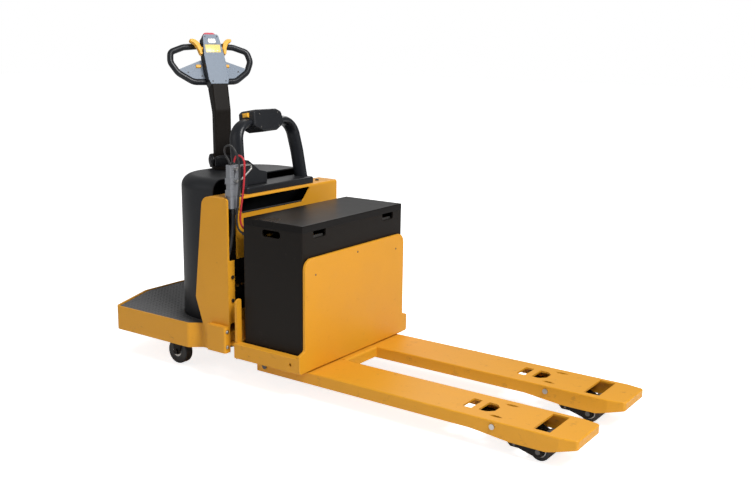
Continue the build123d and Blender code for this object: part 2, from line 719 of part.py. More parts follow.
def motor_brake():
    """The parking brake on the motor's top."""
    z0 = MOTOR_SEAT + 24 + 180
    brake = rod_z(0, 0, z0, z0 + 42, 56)
    brake += rod_z(0, 0, z0 + 42, z0 + 48, 48)
    return steered(brake)


def steer_column():
    """The tube that ties the tiller base to the drive unit."""
    z0 = MOTOR_SEAT + 24 + 180 + 48
    column = rod_z(0, 0, z0, BASE_UNDER, COLUMN_R) - rod_z(0, 0, z0 + 20, BASE_UNDER + 1, COLUMN_R - 5)
    return steered(column + rod_z(0, 0, z0, z0 + 12, 48))


def drive_wheel():
    """The drive tyre bonded to its hub band."""
    half = DRIVE_WIDTH / 2
    tyre = rod_y(0, -half, half, DRIVE_R, DRIVE_R)
    tyre = fillet(tyre.edges().filter_by(GeomType.CIRCLE), 8)
    return steered(tyre - rod_y(0, -half - 1, half + 1, DRIVE_R, 88))


def drive_hub():
    """The cast hub with its axle stub and wheel nuts."""
    half = DRIVE_WIDTH / 2
    hub = rod_y(0, -half + 4, half - 4, DRIVE_R, 88) - rod_y(0, -half, -8, DRIVE_R, 66)
    hub -= rod_y(0, 12, half, DRIVE_R, 66)
    hub += rod_y(0, 12, 45, DRIVE_R, 34)
    hub += rod_y(0, 45, 68, DRIVE_R, 18 - RUN)
    for turn in range(5):
        angle = math.radians(90 + turn * 72)
        hub += rod_y(44 * math.cos(angle), -20, -8, DRIVE_R + 44 * math.sin(angle), 9)
    return steered(hub)


def pump_motor():
    """The lift pump's motor, lying along X behind the bulkhead opening."""
    motor = rod_x(-552, -454, -292, 434, 47)
    motor += rod_x(-454, -445, -292, 434, 30)
    return motor + slab(-552, -480, -330, -254, 300, 395)


def oil_tank():
    """The hydraulic tank beside the pump."""
    tank = slab(-552, -446, -225, -90, 300, 470)
    tank = fillet(tank.edges(), 10)
    return tank + rod_z(-500, -160, 470, 486, 16)


def controller():
    """The motor controller with its finned heat sink."""
    box = slab(-546, -442, 104, 326, 300, 370)
    for fin in range(9):
        y = 110 + fin * 26
        box += slab(-544, -446, y, y + 6, 370, 400)
    return box


def contactor():
    """The main contactor and fuse block."""
    return [slab(-540, -460, 130, 200, 440, 510), slab(-530, -470, 215, 300, 440, 480)]


def shelf_plate():
    """The plate inside the tractor that carries pump, tank, controller and contactor."""
    low = slab(-556, INNER_FRONT, -384, 384, 292, 300)
    low -= slab(-540, INNER_FRONT + 1, -52, 52, 290, 301)
    high = slab(-556, INNER_FRONT, 100, 330, 432, 440)
    return low + high + slab(-556, -548, 100, 330, 300, 440)


def lift_cylinder():
    """The lift cylinder, through the deck, on its foot plate."""
    x = RAM_X
    tube = rod_z(x, 0, CYLINDER_BASE, 332, 36)
    tube += slab(x - 52, x + 48, -48, 48, DECK_TOP, DECK_TOP + 10)
    return tube - rod_z(x, 0, CYLINDER_BASE + 14, 340, RAM_R + RUN)


def lift_ram():
    """The ram that pushes the lifting frame up."""
    return rod_z(RAM_X, 0, CYLINDER_BASE + 14 + LIFT_DOWN + 6, 400, RAM_R)


def caster_fork(hand):
    """A caster fork with its swivel stem."""
    y = hand * CASTER_Y
    half = CASTER_WIDTH / 2 + 2
    fork_body = rod_z(CASTER_X, y, 160, 167.5, 40)
    fork_body += rod_z(CASTER_X, y, 160, 200, CASTER_STEM)
    wheel_x = CASTER_X - CASTER_TRAIL
    for edge in (-1, 1):
        inner, outer = sorted((edge * half, edge * (half + 6)))
        leg = [(CASTER_X - 34, 160, 0), (CASTER_X + 24, 160, 0), (CASTER_X + 20, 140, 10), (wheel_x + 16, CASTER_R - 14, 12),
               (wheel_x - 16, CASTER_R - 14, 12), (CASTER_X - 46, 120, 20)]
        fork_body += Pos(0, y, 0) * side(leg, inner, outer)
    fork_body += slab(CASTER_X - 34, CASTER_X + 24, y - half - 6, y + half + 6, 152, 160)
    bore = rod_y(wheel_x, y - 60, y + 60, CASTER_R, 8)
    return fork_body - bore


def caster_wheel(hand):
    """A caster wheel."""
    y = hand * CASTER_Y
    x = CASTER_X - CASTER_TRAIL
    wheel = rod_y(x, y - CASTER_WIDTH / 2, y + CASTER_WIDTH / 2, CASTER_R, CASTER_R)
    wheel = fillet(wheel.edges().filter_by(GeomType.CIRCLE), 6)
    return wheel - rod_y(x, y - 60, y + 60, CASTER_R, 8 + RUN)


def caster_axle(hand):
    """A caster axle bolt with its heads."""
    y = hand * CASTER_Y
    x = CASTER_X - CASTER_TRAIL
    reach = CASTER_WIDTH / 2 + 8
    axle = rod_y(x, y - reach - 5, y + reach + 5, CASTER_R, 8)
    axle += rod_y(x, y - reach - 6, y - reach, CASTER_R, 12)
    return axle + rod_y(x, y + reach, y + reach + 6, CASTER_R, 12)


# ---------------------------------------------------------------- tiller


def tiller_base():
    """The casting on the steering column: two cheeks that hold the tilt pin."""
    base = rod_z(0, 0, BASE_UNDER, BASE_UNDER + 12, 62)
    inner = TILLER_WIDTH / 2 + 1
    for edge in (-1, 1):
        low, high = sorted((edge * inner, edge * (inner + 11)))
        cheek = side([(-66, BASE_UNDER, 0), (12, BASE_UNDER, 0), (16, 952, 16), (TILT_X + 8, 972, 18),
                      (TILT_X - 20, 972, 18), (-66, 940, 20)], low, high)
        base += cheek
    base -= rod_y(TILT_X, -80, 80, TILT_Z, 10)
    return steered(base)


def tilt_pin():
    """The pin that the tiller tilts on."""
    reach = TILLER_WIDTH / 2 + 16
    pin = rod_y(TILT_X, -reach, reach, TILT_Z, 10)
    return steered(pin)


def tilt_spring():
    """The return spring's coil on the tilt pin, as one sleeve."""
    return steered(rod_y(TILT_X, -16, 16, TILT_Z, 15) - rod_y(TILT_X, -20, 20, TILT_Z, 10))


def tiller_arm():
    """The box arm from the tilt pin up to the head, bent back near its top."""
    half = TILLER_WIDTH / 2
    low = TILT_Z - 14
    back = ARM_FRONT - ARM_DEEP
    corners = [
        (ARM_FRONT, low, 14),
        (ARM_FRONT, ARM_BEND_Z, 60),
        (FACE_X + 1, FACE_Z + 4, 0),
        (FACE_X - 62, FACE_Z - 26, 0),
        (back - 4, ARM_BEND_Z - 16, 60),
        (back, low, 14),
    ]
    arm = side(corners, -half, half)
    long_edges = [e for e in arm.edges() if abs(abs(e.center().Y) - half) < 0.1 and e.length > 100]
    arm = fillet(long_edges, 8)
    arm -= Pos(FACE_X, 0, FACE_Z) * Rot(0, -LEAN, 0) * slab(-200, 80, -80, 80, -SEAT_GAP, 200)
    arm -= rod_y(TILT_X, -80, 80, TILT_Z, 10 + RUN)
    arm -= rod_y(TILT_X, -17, 17, TILT_Z, 15.5)
    return steered(arm)


def headed(piece):
    """Place a piece built in the head's own frame: x out of the face, y across, z up the face."""
    return steered(Pos(FACE_X, 0, FACE_Z) * Rot(0, -LEAN, 0) * piece)


def head_outline(grow, bottom, top):
    """The head's outline in its own y, z, grown outwards and cut at bottom and top."""
    half = [(y - grow, z, r) for y, z, r in HEAD_HALF]
    half[0] = (half[0][0], bottom, 0)
    half[-1] = (half[-1][0], top, max(12 + grow, 0))
    return [(-y, z, r) for y, z, r in half] + [(y, z, r) for y, z, r in reversed(half)]


def head_shell():
    """The tiller head's housing, hollow, with holes for loop, shaft and buttons."""
    shell = front(head_outline(0, 0, HEAD_LENGTH - 8), -HEAD_DEPTH, -4)
    rear = shell.faces().sort_by(Axis.X)[0].edges()
    shell = fillet(rear, 12)
    hollow = front(head_outline(-HEAD_WALL, 12, HEAD_LENGTH - 12), -HEAD_DEPTH + HEAD_WALL, -8)
    shell -= hollow
    shell -= loop_shape(SEAT_GAP)
    shell -= rod_y(THROTTLE_X, -80, 80, THROTTLE_U, THROTTLE_R + RUN)
    shell -= slab(-52, -12, -29.5, 29.5, HEAD_LENGTH - 20, HEAD_LENGTH)
    shell -= slab(-9, -3, -20.5, 20.5, 211.5, 236.5)
    return headed(shell)


def face_panel():
    """The grey face of the head, with holes for the horn button and the display window."""
    panel = front(head_outline(1, 0, HEAD_LENGTH - 8), -4, 0)
    panel = fillet(panel.faces().sort_by(Axis.X)[-1].edges(), 2)
    panel -= slab(-5, 1, -20.5, 20.5, 211.5, 236.5)
    panel -= slab(-1.5, 1, -38, 38, 164, 206)
    return headed(panel)


def loop_shape(grow=0.0):
    """The handle loop's tube, in the head's own frame, thickened by grow for cutting what holds it."""
    top = 226
    points = [(-30, top), (-128, top - 8), (-196, top - 34), (-LOOP_HALF, 140), (-176, 84), (-108, 36), (0, 34),
              (108, 36), (176, 84), (LOOP_HALF, 140), (196, top - 34), (128, top - 8), (30, top)]
    path = Pos(-LOOP_BACK, 0, 0) * (Plane.YZ * FilletPolyline(*points, radius=[60, 30, 46, 60, 60, 400, 60, 60, 46, 30, 60]))
    start = Plane(origin=path @ 0, z_dir=path % 0)
    return sweep(start * Circle(LOOP_R + grow), path=path)


def handle_loop():
    """The steering loop."""
    return headed(loop_shape())


def wing_plates():
    """The grey plates that fill the loop's lower corners."""
    loop = loop_shape(SEAT_GAP)
    wings = []
    for edge in (-1, 1):
        corners = [(edge * 50.5, 44, 0), (edge * 112, 44, 0), (edge * 172, 90, 0), (edge * 172, 100, 8), (edge * 50.5, 148, 6)]
        wing = front(corners, -LOOP_BACK - 5, -LOOP_BACK + 7) - loop
        wing -= Pos(0, edge * 72, 114) * slab(-LOOP_BACK - 6, -LOOP_BACK + 8, -13.5, 13.5, -8.5, 8.5)
        wings.append(headed(wing.solids().sort_by(SortBy.VOLUME)[-1]))
    return wings


def finger_button(edge):
    """A small lift or lower button in a wing plate."""
    button = slab(-LOOP_BACK - 4, -LOOP_BACK + 13, -13, 13, -8, 8)
    button = fillet(button.edges().filter_by(Axis.X), 6)
    button = fillet(button.faces().sort_by(Axis.X)[-1].edges(), 3)
    return headed(Pos(0, edge * 72, 114) * button)


def throttle():
    """The thumb throttle: a shaft through the head with a curved paddle at each end."""
    body = rod_y(THROTTLE_X, -64, 64, THROTTLE_U, THROTTLE_R)
    for edge in (-1, 1):
        half = [(54, 158, 4), (66, 158, 8), (74, 192, 30), (86, 216, 20), (106, 228, 4), (104, 239, 4), (82, 239, 20),
                (62, 222, 24), (54, 194, 20)]
        paddle = front([(edge * y, z, r) for y, z, r in half], THROTTLE_X - 10, THROTTLE_X + 12)
        rims = paddle.faces().filter_by(Axis.X)
        body += fillet(rims[0].edges() + rims[1].edges(), 3)
    return headed(body)


def belly_button():
    """The red reverse button in the head's end."""
    button = front([(-29, HEAD_LENGTH - 16, 0), (29, HEAD_LENGTH - 16, 0), (29, HEAD_LENGTH + 2, 6), (20, HEAD_LENGTH + 8, 12),
                    (-20, HEAD_LENGTH + 8, 12), (-29, HEAD_LENGTH + 2, 6)], -51.5, -12.5)
    faces = button.faces().filter_by(Axis.X)
    rims = [e for f in faces for e in f.edges() if e.center().Z > HEAD_LENGTH]
    return headed(fillet(rims, 4))


def horn_button():
    """The white horn button in the head's face."""
    button = slab(-8, 3, -20, 20, 212, 236)
    button = fillet(button.edges().filter_by(Axis.X), 6)
    return headed(fillet(button.faces().sort_by(Axis.X)[-1].edges(), 2))


# ---------------------------------------------------------------- leads


def plug_half(z0, z1, band):
    """One half of the battery connector, with a raised band."""
    x, y = PLUG_X, PLUG_Y
    body = slab(x - 14, x + 14, y - 26, y + 26, z0, z1)
    body = fillet(body.edges().filter_by(Axis.Z), 3)
    return body + slab(x - 16, x + 16, y - 29, y + 29, band, band + 26)


def connector():
    """The battery's plug on top of the truck's plug."""
    upper = plug_half(PLUG_SPLIT, PLUG_TOP, PLUG_SPLIT + 12)
    lower = plug_half(PLUG_BOTTOM, PLUG_SPLIT, PLUG_SPLIT - 40)
    for turn in (-1, 1):
        upper -= rod_z(PLUG_X, PLUG_Y + turn * LEAD_STEP, PLUG_TOP - 20, PLUG_TOP + 1, LEAD_D / 2 + SEAT_GAP)
    lower -= rod_z(PLUG_X, PLUG_Y, PLUG_BOTTOM - 1, PLUG_BOTTOM + 12, CABLE_D / 2 + SEAT_GAP)
    return [upper, lower]


def plug_handle():
    """The steel pull handle on the battery's plug and the bracket that holds the truck's plug."""
    x = PLUG_X + 24
    y = PLUG_Y
    low = PLUG_SPLIT + 25
    points = [(y, PLUG_TOP - 18), (y + 30, PLUG_TOP - 4), (y + 92, PLUG_TOP - 8), (y + 98, PLUG_TOP - 24), (y + 34, low + 6),
              (y, low)]
    path = Pos(x, 0, 0) * (Plane.YZ * FilletPolyline(*points, radius=[14, 9, 9, 14]))
    start = Plane(origin=path @ 0, z_dir=path % 0)
    handle = sweep(start * Circle(4.5), path=path)
    handle += rod_x(PLUG_X + 14, x + 5, y, PLUG_TOP - 18, 6)
    handle += rod_x(PLUG_X + 16, x + 5, y, low, 6)
    bracket = slab(PLUG_X - 19, PLUG_X - 16, PLUG_Y - 26, PLUG_Y + 68, TRACTOR_TOP + 4, PLUG_SPLIT - 14)
    bracket += slab(PLUG_X - 19, PLUG_X + 4, PLUG_Y + 40, PLUG_Y + 68, TRACTOR_TOP, TRACTOR_TOP + 4)
    return [handle, bracket]


def tube(points, diameter, name):
    """A round tube on straight runs and tangent arcs, each arc as large as its runs allow."""
    radii = []
    for before, corner, after in zip(points, points[1:], points[2:]):
        first = Vector(*corner) - Vector(*before)
        second = Vector(*after) - Vector(*corner)
        turn = math.radians(first.get_angle(second))
        radii.append(0.45 * min(first.length, second.length) / math.tan(turn / 2))
    path = FilletPolyline(*points, radius=radii)
    start = Plane(origin=path @ 0, z_dir=path % 0)
    solid = sweep(start * Circle(diameter / 2), path=path)
    expected = math.pi * diameter**2 / 4 * path.length
    print(f"{name}: length {path.length:.0f}, volume / expected {solid.volume / expected:.4f}, radii",
          [round(r) for r in radii])
    return solid


RED_ROUTE = [
    (-338, -336, 704),
    (-373, -336, 704),
    (-394, -337, 738),
    (-386, -338, 794),
    (-375, -338, 850),
    (-367, -337, 904),
    (-363, -336, 958),
    (-362, -336, 1012),
    (-393.5, -336, 1030),
    (-425, -336, 1012),
    (-425, -336, 974),
]
BLACK_ROUTE = [
    (-338, -358, 692),
    (-374, -358, 692),
    (-394, -358, 730),
    (-390, -358, 784),
    (-382, -357, 840),
    (-373, -359, 896),
    (-366, -362, 950),
    (-364, -368, 1004),
    (-372, -380, 1055),
    (-407, -380, 1077),
    (-445, -373, 1061),
    (-452, -360, 1024),
    (-425, -358, 996),
    (-425, -358, 966),
]
CABLE_ROUTE = [
    (-425, -347, 806),
    (-425, -347, 752),
    (-423, -354, 695),
    (-427, -361, 640),
    (-438, -365, 590),
    (-448, -366, 540),
    (-454, -365, 490),
    (-455, -363, 440),
    (-454, -361, 393),
    (-456, -362, 346),
    (-456, -363, 300.5),
]


def both(name, build):
    """A left and a right node made by one function."""
    return {f"{name}_left": lambda: build(1), f"{name}_right": lambda: build(-1)}


NODES = {
    **both("fork", fork),
    "fork_pins": fork_pins,
    "battery_tray": lambda: battery_tray() + heel_crossmember(),
    "backrest": backrest,
    "guide_posts": lambda: guide_posts() + guide_pins(),
    "lift_ram": lambda: [lift_ram(), ram_bracket()],
    "battery_case": battery_case,
    "battery_cells": battery_cells,
    "battery_lid": battery_lid,
    **both("load_arm", load_arm),
    **both("arm_pins", lambda hand: [load_axle(hand), entry_pin(hand)]),
    **both("load_wheel", load_wheel),
    **both("entry_roller", entry_roller),
    **both("pull_rod", pull_rod),
    "heel_crank": heel_crank,
    "chassis": lambda: chassis() + shelf_plate(),
    "platform_frame": platform_frame,
    "platform_mat": platform_mat,
    "motor_cover": motor_cover,
    "top_pad": top_pad,
    "grab_bar": grab_bar,
    "bar_housing": lambda: key_box(grab_bar(SEAT_GAP)),
    "jog_pod": lambda: jog_pod(grab_bar(SEAT_GAP)),
    "jog_button": jog_button,
    "top_bolts": top_bolts,
    "steer_mount": lambda: [drive_cradle(), bearing_outer()],
    "hydraulic_pack": lambda: [pump_motor(), oil_tank()],
    "controller": lambda: [controller()] + contactor(),
    "lift_cylinder": lift_cylinder,
    **both("caster_fork", lambda hand: [caster_fork(hand), caster_axle(hand)]),
    **both("caster_wheel", caster_wheel),
    "gearbox": lambda: [gearbox(), bearing_inner()],
    "drive_motor": lambda: [drive_motor(), motor_brake()],
    "drive_tyre": drive_wheel,
    "drive_hub": drive_hub,
    "tiller_base": lambda: [tiller_base(), steer_column()],
    "tilt_pin": lambda: [tilt_pin(), tilt_spring()],
    "tiller_arm": tiller_arm,
    "head_shell": head_shell,
    "face_panel": face_panel,
    "handle_loop": handle_loop,
    "wing_plates": wing_plates,
    "throttle": throttle,
    "belly_button": belly_button,
    "horn_button": horn_button,
    "lift_button": lambda: finger_button(1),
    "lower_button": lambda: finger_button(-1),
    "connector": connector,
    "plug_handle": plug_handle,
    "battery_lead_red": lambda: tube(RED_ROUTE, LEAD_D, "red lead"),
    "battery_lead_black": lambda: tube(BLACK_ROUTE, LEAD_D, "black lead"),
    "truck_cable": lambda: tube(CABLE_ROUTE, CABLE_D, "truck cable"),
}


def write(name, build):
    """Build one sub-part, centre it on the truck's frame and write its STEP file."""
    made = build()
    solids = []
    for piece in made if isinstance(made, list) else [made]:
        solids.extend(piece.solids())
    placed = [Pos(HEEL_X, 0, 0) * solid for solid in solids]
    export_step(placed[0] if len(placed) == 1 else Compound(children=placed), f"parts/{name}.step")


if __name__ == "__main__":
    os.makedirs("parts", exist_ok=True)
    for node, builder in NODES.items():
        write(node, builder)
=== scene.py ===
"""End-rider electric pallet truck: finishes, small parts, leads and studio around the fixed frame."""

import json
import logging
import math
from collections.abc import Callable, Iterable
from dataclasses import dataclass, field
from enum import Enum

import bmesh
import bpy
from mathutils import Matrix, Vector

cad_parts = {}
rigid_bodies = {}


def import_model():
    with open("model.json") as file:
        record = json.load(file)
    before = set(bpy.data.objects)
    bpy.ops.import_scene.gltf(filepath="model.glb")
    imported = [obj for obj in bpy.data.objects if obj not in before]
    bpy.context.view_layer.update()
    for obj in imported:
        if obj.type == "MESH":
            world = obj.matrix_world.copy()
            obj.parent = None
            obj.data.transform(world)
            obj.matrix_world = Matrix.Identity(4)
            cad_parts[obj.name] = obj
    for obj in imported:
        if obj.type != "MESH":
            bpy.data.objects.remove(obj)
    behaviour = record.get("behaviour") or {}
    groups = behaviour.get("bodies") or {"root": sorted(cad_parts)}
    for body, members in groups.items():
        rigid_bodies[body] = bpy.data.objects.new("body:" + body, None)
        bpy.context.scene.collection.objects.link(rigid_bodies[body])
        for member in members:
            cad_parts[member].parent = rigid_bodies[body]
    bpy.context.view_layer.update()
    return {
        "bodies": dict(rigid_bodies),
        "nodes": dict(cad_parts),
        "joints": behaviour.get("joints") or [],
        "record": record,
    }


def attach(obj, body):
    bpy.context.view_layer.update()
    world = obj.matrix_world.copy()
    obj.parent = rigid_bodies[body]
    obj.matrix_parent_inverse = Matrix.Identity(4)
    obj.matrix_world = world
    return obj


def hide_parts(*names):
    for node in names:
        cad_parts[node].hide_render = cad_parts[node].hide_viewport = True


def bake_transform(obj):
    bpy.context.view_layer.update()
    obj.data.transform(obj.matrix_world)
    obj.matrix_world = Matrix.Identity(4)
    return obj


LOG = logging.getLogger("pallet_truck")

Colour = tuple[float, float, float]
Piece = bpy.types.Object
Tree = bpy.types.NodeTree
Node = bpy.types.Node
Socket = bpy.types.NodeSocket
Test = Callable[[Vector, Vector], bool]

MM = 0.001
HEEL_SHIFT = 18.0
HUB_X = -800.0
STEER = math.radians(-25.0)
FACE = (-42.0, 1305.0)
LEAN = math.radians(-27.0)
AHEAD = Vector((1, 0, 0))
LEFT = Vector((0, 1, 0))
HANDS = (("left", 1), ("right", -1))
WHITE = (1.0, 1.0, 1.0, 1.0)
DUST_COLOUR = (0.42, 0.39, 0.35)
SPECK_SHADE = 0.6
SPECK_STRENGTH = 0.35
BUMP_STRENGTH = 0.8


def mm(x: float, y: float, z: float) -> Vector:
    """Turn a place in millimetres into metres."""
    return Vector((x, y, z)) * MM


def station(x: float, y: float, z: float) -> Vector:
    """Turn a place in millimetres from the backrest's face into metres in the truck's frame."""
    return Vector(((x + HEEL_SHIFT) * MM, y * MM, z * MM))


def steered() -> Matrix:
    """Return the placing of a piece drawn about the steering axis, straight ahead."""
    return placed(HUB_X, 0, 0) @ Matrix.Rotation(STEER, 4, "Z")


def headed() -> Matrix:
    """Return the placing of a piece drawn in the tiller head's own frame."""
    return steered() @ Matrix.Translation(mm(FACE[0], 0, FACE[1])) @ Matrix.Rotation(LEAN, 4, "Y")


def facing(at: Vector, way: Vector) -> Matrix:
    """Return the placing that turns a piece's own z axis to point one way."""
    return Matrix.Translation(at) @ way.to_track_quat("Z", "Y").to_matrix().to_4x4()


def placed(x: float, y: float, z: float) -> Matrix:
    """Return the placing of a piece at a station, unturned."""
    return Matrix.Translation(station(x, y, z))


def both_ways(x: float, y: float, out: float, z: float) -> list[Matrix]:
    """Return two placings beside a station, each facing outwards along y."""
    return [facing(station(x, y + way * out, z), LEFT * way) for way in (-1, 1)]


def upward(_: Vector, normal: Vector) -> bool:
    """Tell whether a face looks up."""
    return normal.z > 0.9


def forward(_: Vector, normal: Vector) -> bool:
    """Tell whether a face looks ahead."""
    return normal.x > 0.9


# ---------------------------------------------------------------- shader nodes


def feed(tree: Tree, socket: Socket, value: object) -> None:
    """Link a socket to another one, or give it a plain value."""
    if isinstance(value, Socket):
        tree.links.new(value, socket)
    else:
        socket.default_value = value


def add(tree: Tree, kind: str, settings: dict[str, object] | None = None, **fed: object) -> Node:
    """Add a shader node.

    Args:
        tree: The tree it goes into.
        kind: The node's kind, without ShaderNode before it.
        settings: Properties of the node.
        fed: What its inputs get, with underscores for the spaces in their names.

    Returns:
        The new node.
    """
    node = tree.nodes.new("ShaderNode" + kind)
    for key, value in (settings or {}).items():
        setattr(node, key, value)
    for label, value in fed.items():
        feed(tree, node.inputs[label.replace("_", " ")], value)
    return node


def reckon(tree: Tree, operation: str, first: object, second: object, clamp: bool = False) -> Socket:
    """Add a Math node fed by sockets or numbers, and return its output."""
    node = add(tree, "Math", {"operation": operation, "use_clamp": clamp})
    feed(tree, node.inputs[0], first)
    feed(tree, node.inputs[1], second)
    return node.outputs[0]


def spread(tree: Tree, value: Socket, start: float, end: object, low: float = 0.0,
           high: float = 1.0) -> Socket:
    """Map a value from one span to another, and return the result."""
    node = add(tree, "MapRange", Value=value, From_Min=start, From_Max=end, To_Min=low, To_Max=high)
    return node.outputs["Result"]


def noise(tree: Tree, vector: Socket, scale: object, detail: float, roughness: float) -> Socket:
    """Add a noise texture and return its value."""
    node = add(tree, "TexNoise", Vector=vector, Scale=scale, Detail=detail, Roughness=roughness)
    return node.outputs["Fac"]


class Relief(Enum):
    """The small-scale relief that a finish has."""

    ORANGE_PEEL = "orange_peel"
    MOULDED = "moulded"
    BRUSHED = "brushed"
    CAST = "cast"
    RUBBER = "rubber"


class Effects:
    """Node groups that several finishes share, each built once."""

    def __init__(self) -> None:
        """Start with no group built."""
        self.made: dict[str, Tree] = {}

    def _new(self, name: str, inputs: dict[str, float],
             outputs: Iterable[str]) -> tuple[Tree, Node, Node, Socket]:
        """Make an empty group with its sockets.

        Args:
            name: The group's name.
            inputs: Float inputs with their default values.
            outputs: Names of the float outputs.

        Returns:
            The new tree, its input and output nodes, and the object coordinates.
        """
        tree = bpy.data.node_groups.new(name, "ShaderNodeTree")
        for label, value in inputs.items():
            socket = tree.interface.new_socket(label, in_out="INPUT", socket_type="NodeSocketFloat")
            socket.default_value = value
        for label in outputs:
            tree.interface.new_socket(label, in_out="OUTPUT", socket_type="NodeSocketFloat")
        self.made[name] = tree
        ends = tree.nodes.new("NodeGroupInput"), tree.nodes.new("NodeGroupOutput")
        return tree, *ends, add(tree, "TexCoord").outputs["Object"]

    def relief(self, kind: Relief) -> Tree:
        """Build or find the relief group of one kind.

        Args:
            kind: Which relief.

        Returns:
            A group with a Scale input and a Height output.
        """
        name = f"relief_{kind.value}"
        if name in self.made:
            return self.made[name]
        tree, start, end, coords = self._new(name, {"Scale": 600.0}, ("Height",))
        scale = start.outputs["Scale"]
        if kind is Relief.MOULDED:
            cells = add(tree, "TexVoronoi", {"feature": "SMOOTH_F1"}, Vector=coords, Scale=scale)
            fine = noise(tree, coords, reckon(tree, "MULTIPLY", scale, 2.3), 2.0, 0.5)
            height = reckon(tree, "ADD", cells.outputs["Distance"], reckon(tree, "MULTIPLY", fine, 0.5))
        elif kind is Relief.BRUSHED:
            along = add(tree, "Mapping", Vector=coords, Scale=(0.12, 1.0, 1.0))
            height = noise(tree, along.outputs["Vector"], scale, 4.0, 0.6)
        elif kind is Relief.CAST:
            coarse = noise(tree, coords, scale, 6.0, 0.7)
            pits = noise(tree, coords, reckon(tree, "MULTIPLY", scale, 3.1), 2.0, 0.5)
            height = reckon(tree, "ADD", coarse, reckon(tree, "MULTIPLY", pits, 0.4))
        elif kind is Relief.RUBBER:
            height = noise(tree, coords, scale, 5.0, 0.65)
        else:
            peel = noise(tree, coords, scale, 1.5, 0.45)
            waves = noise(tree, coords, reckon(tree, "MULTIPLY", scale, 0.18), 1.0, 0.4)
            height = reckon(tree, "ADD", peel, waves)
        feed(tree, end.inputs["Height"], height)
        return tree

    def wear(self) -> Tree:
        """Build or find the wear group: scuffs that grow denser towards the floor.

        Returns:
            A group with Amount and Reach inputs and Scuffs, Clouds and Specks outputs.
        """
        if "wear" in self.made:
            return self.made["wear"]
        tree, start, end, coords = self._new("wear", {"Amount": 0.3, "Reach": 0.25},
                                             ("Scuffs", "Clouds", "Specks"))
        split = add(tree, "SeparateXYZ", Vector=coords)
        low = spread(tree, split.outputs["Z"], 0.0, start.outputs["Reach"], 1.0, 0.0)
        patches = noise(tree, coords, 23.0, 8.0, 0.62)
        dashes = add(tree, "Mapping", Vector=coords, Scale=(1.0, 6.0, 9.0))
        scratches = noise(tree, dashes.outputs["Vector"], 40.0, 6.0, 0.7)
        marks = reckon(tree, "ADD", reckon(tree, "MULTIPLY", patches, 0.62),
                       reckon(tree, "MULTIPLY", scratches, 0.38))
        lift = reckon(tree, "ADD", marks, reckon(tree, "MULTIPLY", low, 0.07))
        scuffs = reckon(tree, "MULTIPLY", spread(tree, lift, 0.62, 0.68), start.outputs["Amount"])
        feed(tree, end.inputs["Scuffs"], scuffs)
        feed(tree, end.inputs["Clouds"], noise(tree, coords, 4.2, 5.0, 0.55))
        feed(tree, end.inputs["Specks"], spread(tree, noise(tree, coords, 310.0, 3.0, 0.6), 0.60, 0.74))
        return tree

    def dust(self) -> Tree:
        """Build or find the dust group: fine dust on faces that look up.

        Returns:
            A group with an Amount input and a Mask output.
        """
        if "dust" in self.made:
            return self.made["dust"]
        tree, start, end, coords = self._new("dust", {"Amount": 0.2}, ("Mask",))
        split = add(tree, "SeparateXYZ", Vector=add(tree, "NewGeometry").outputs["Normal"])
        up = spread(tree, split.outputs["Z"], 0.35, 1.0)
        settled = reckon(tree, "MULTIPLY", up, noise(tree, coords, 9.0, 7.0, 0.6))
        feed(tree, end.inputs["Mask"], reckon(tree, "MULTIPLY", settled, start.outputs["Amount"]))
        return tree


# ---------------------------------------------------------------- finishes


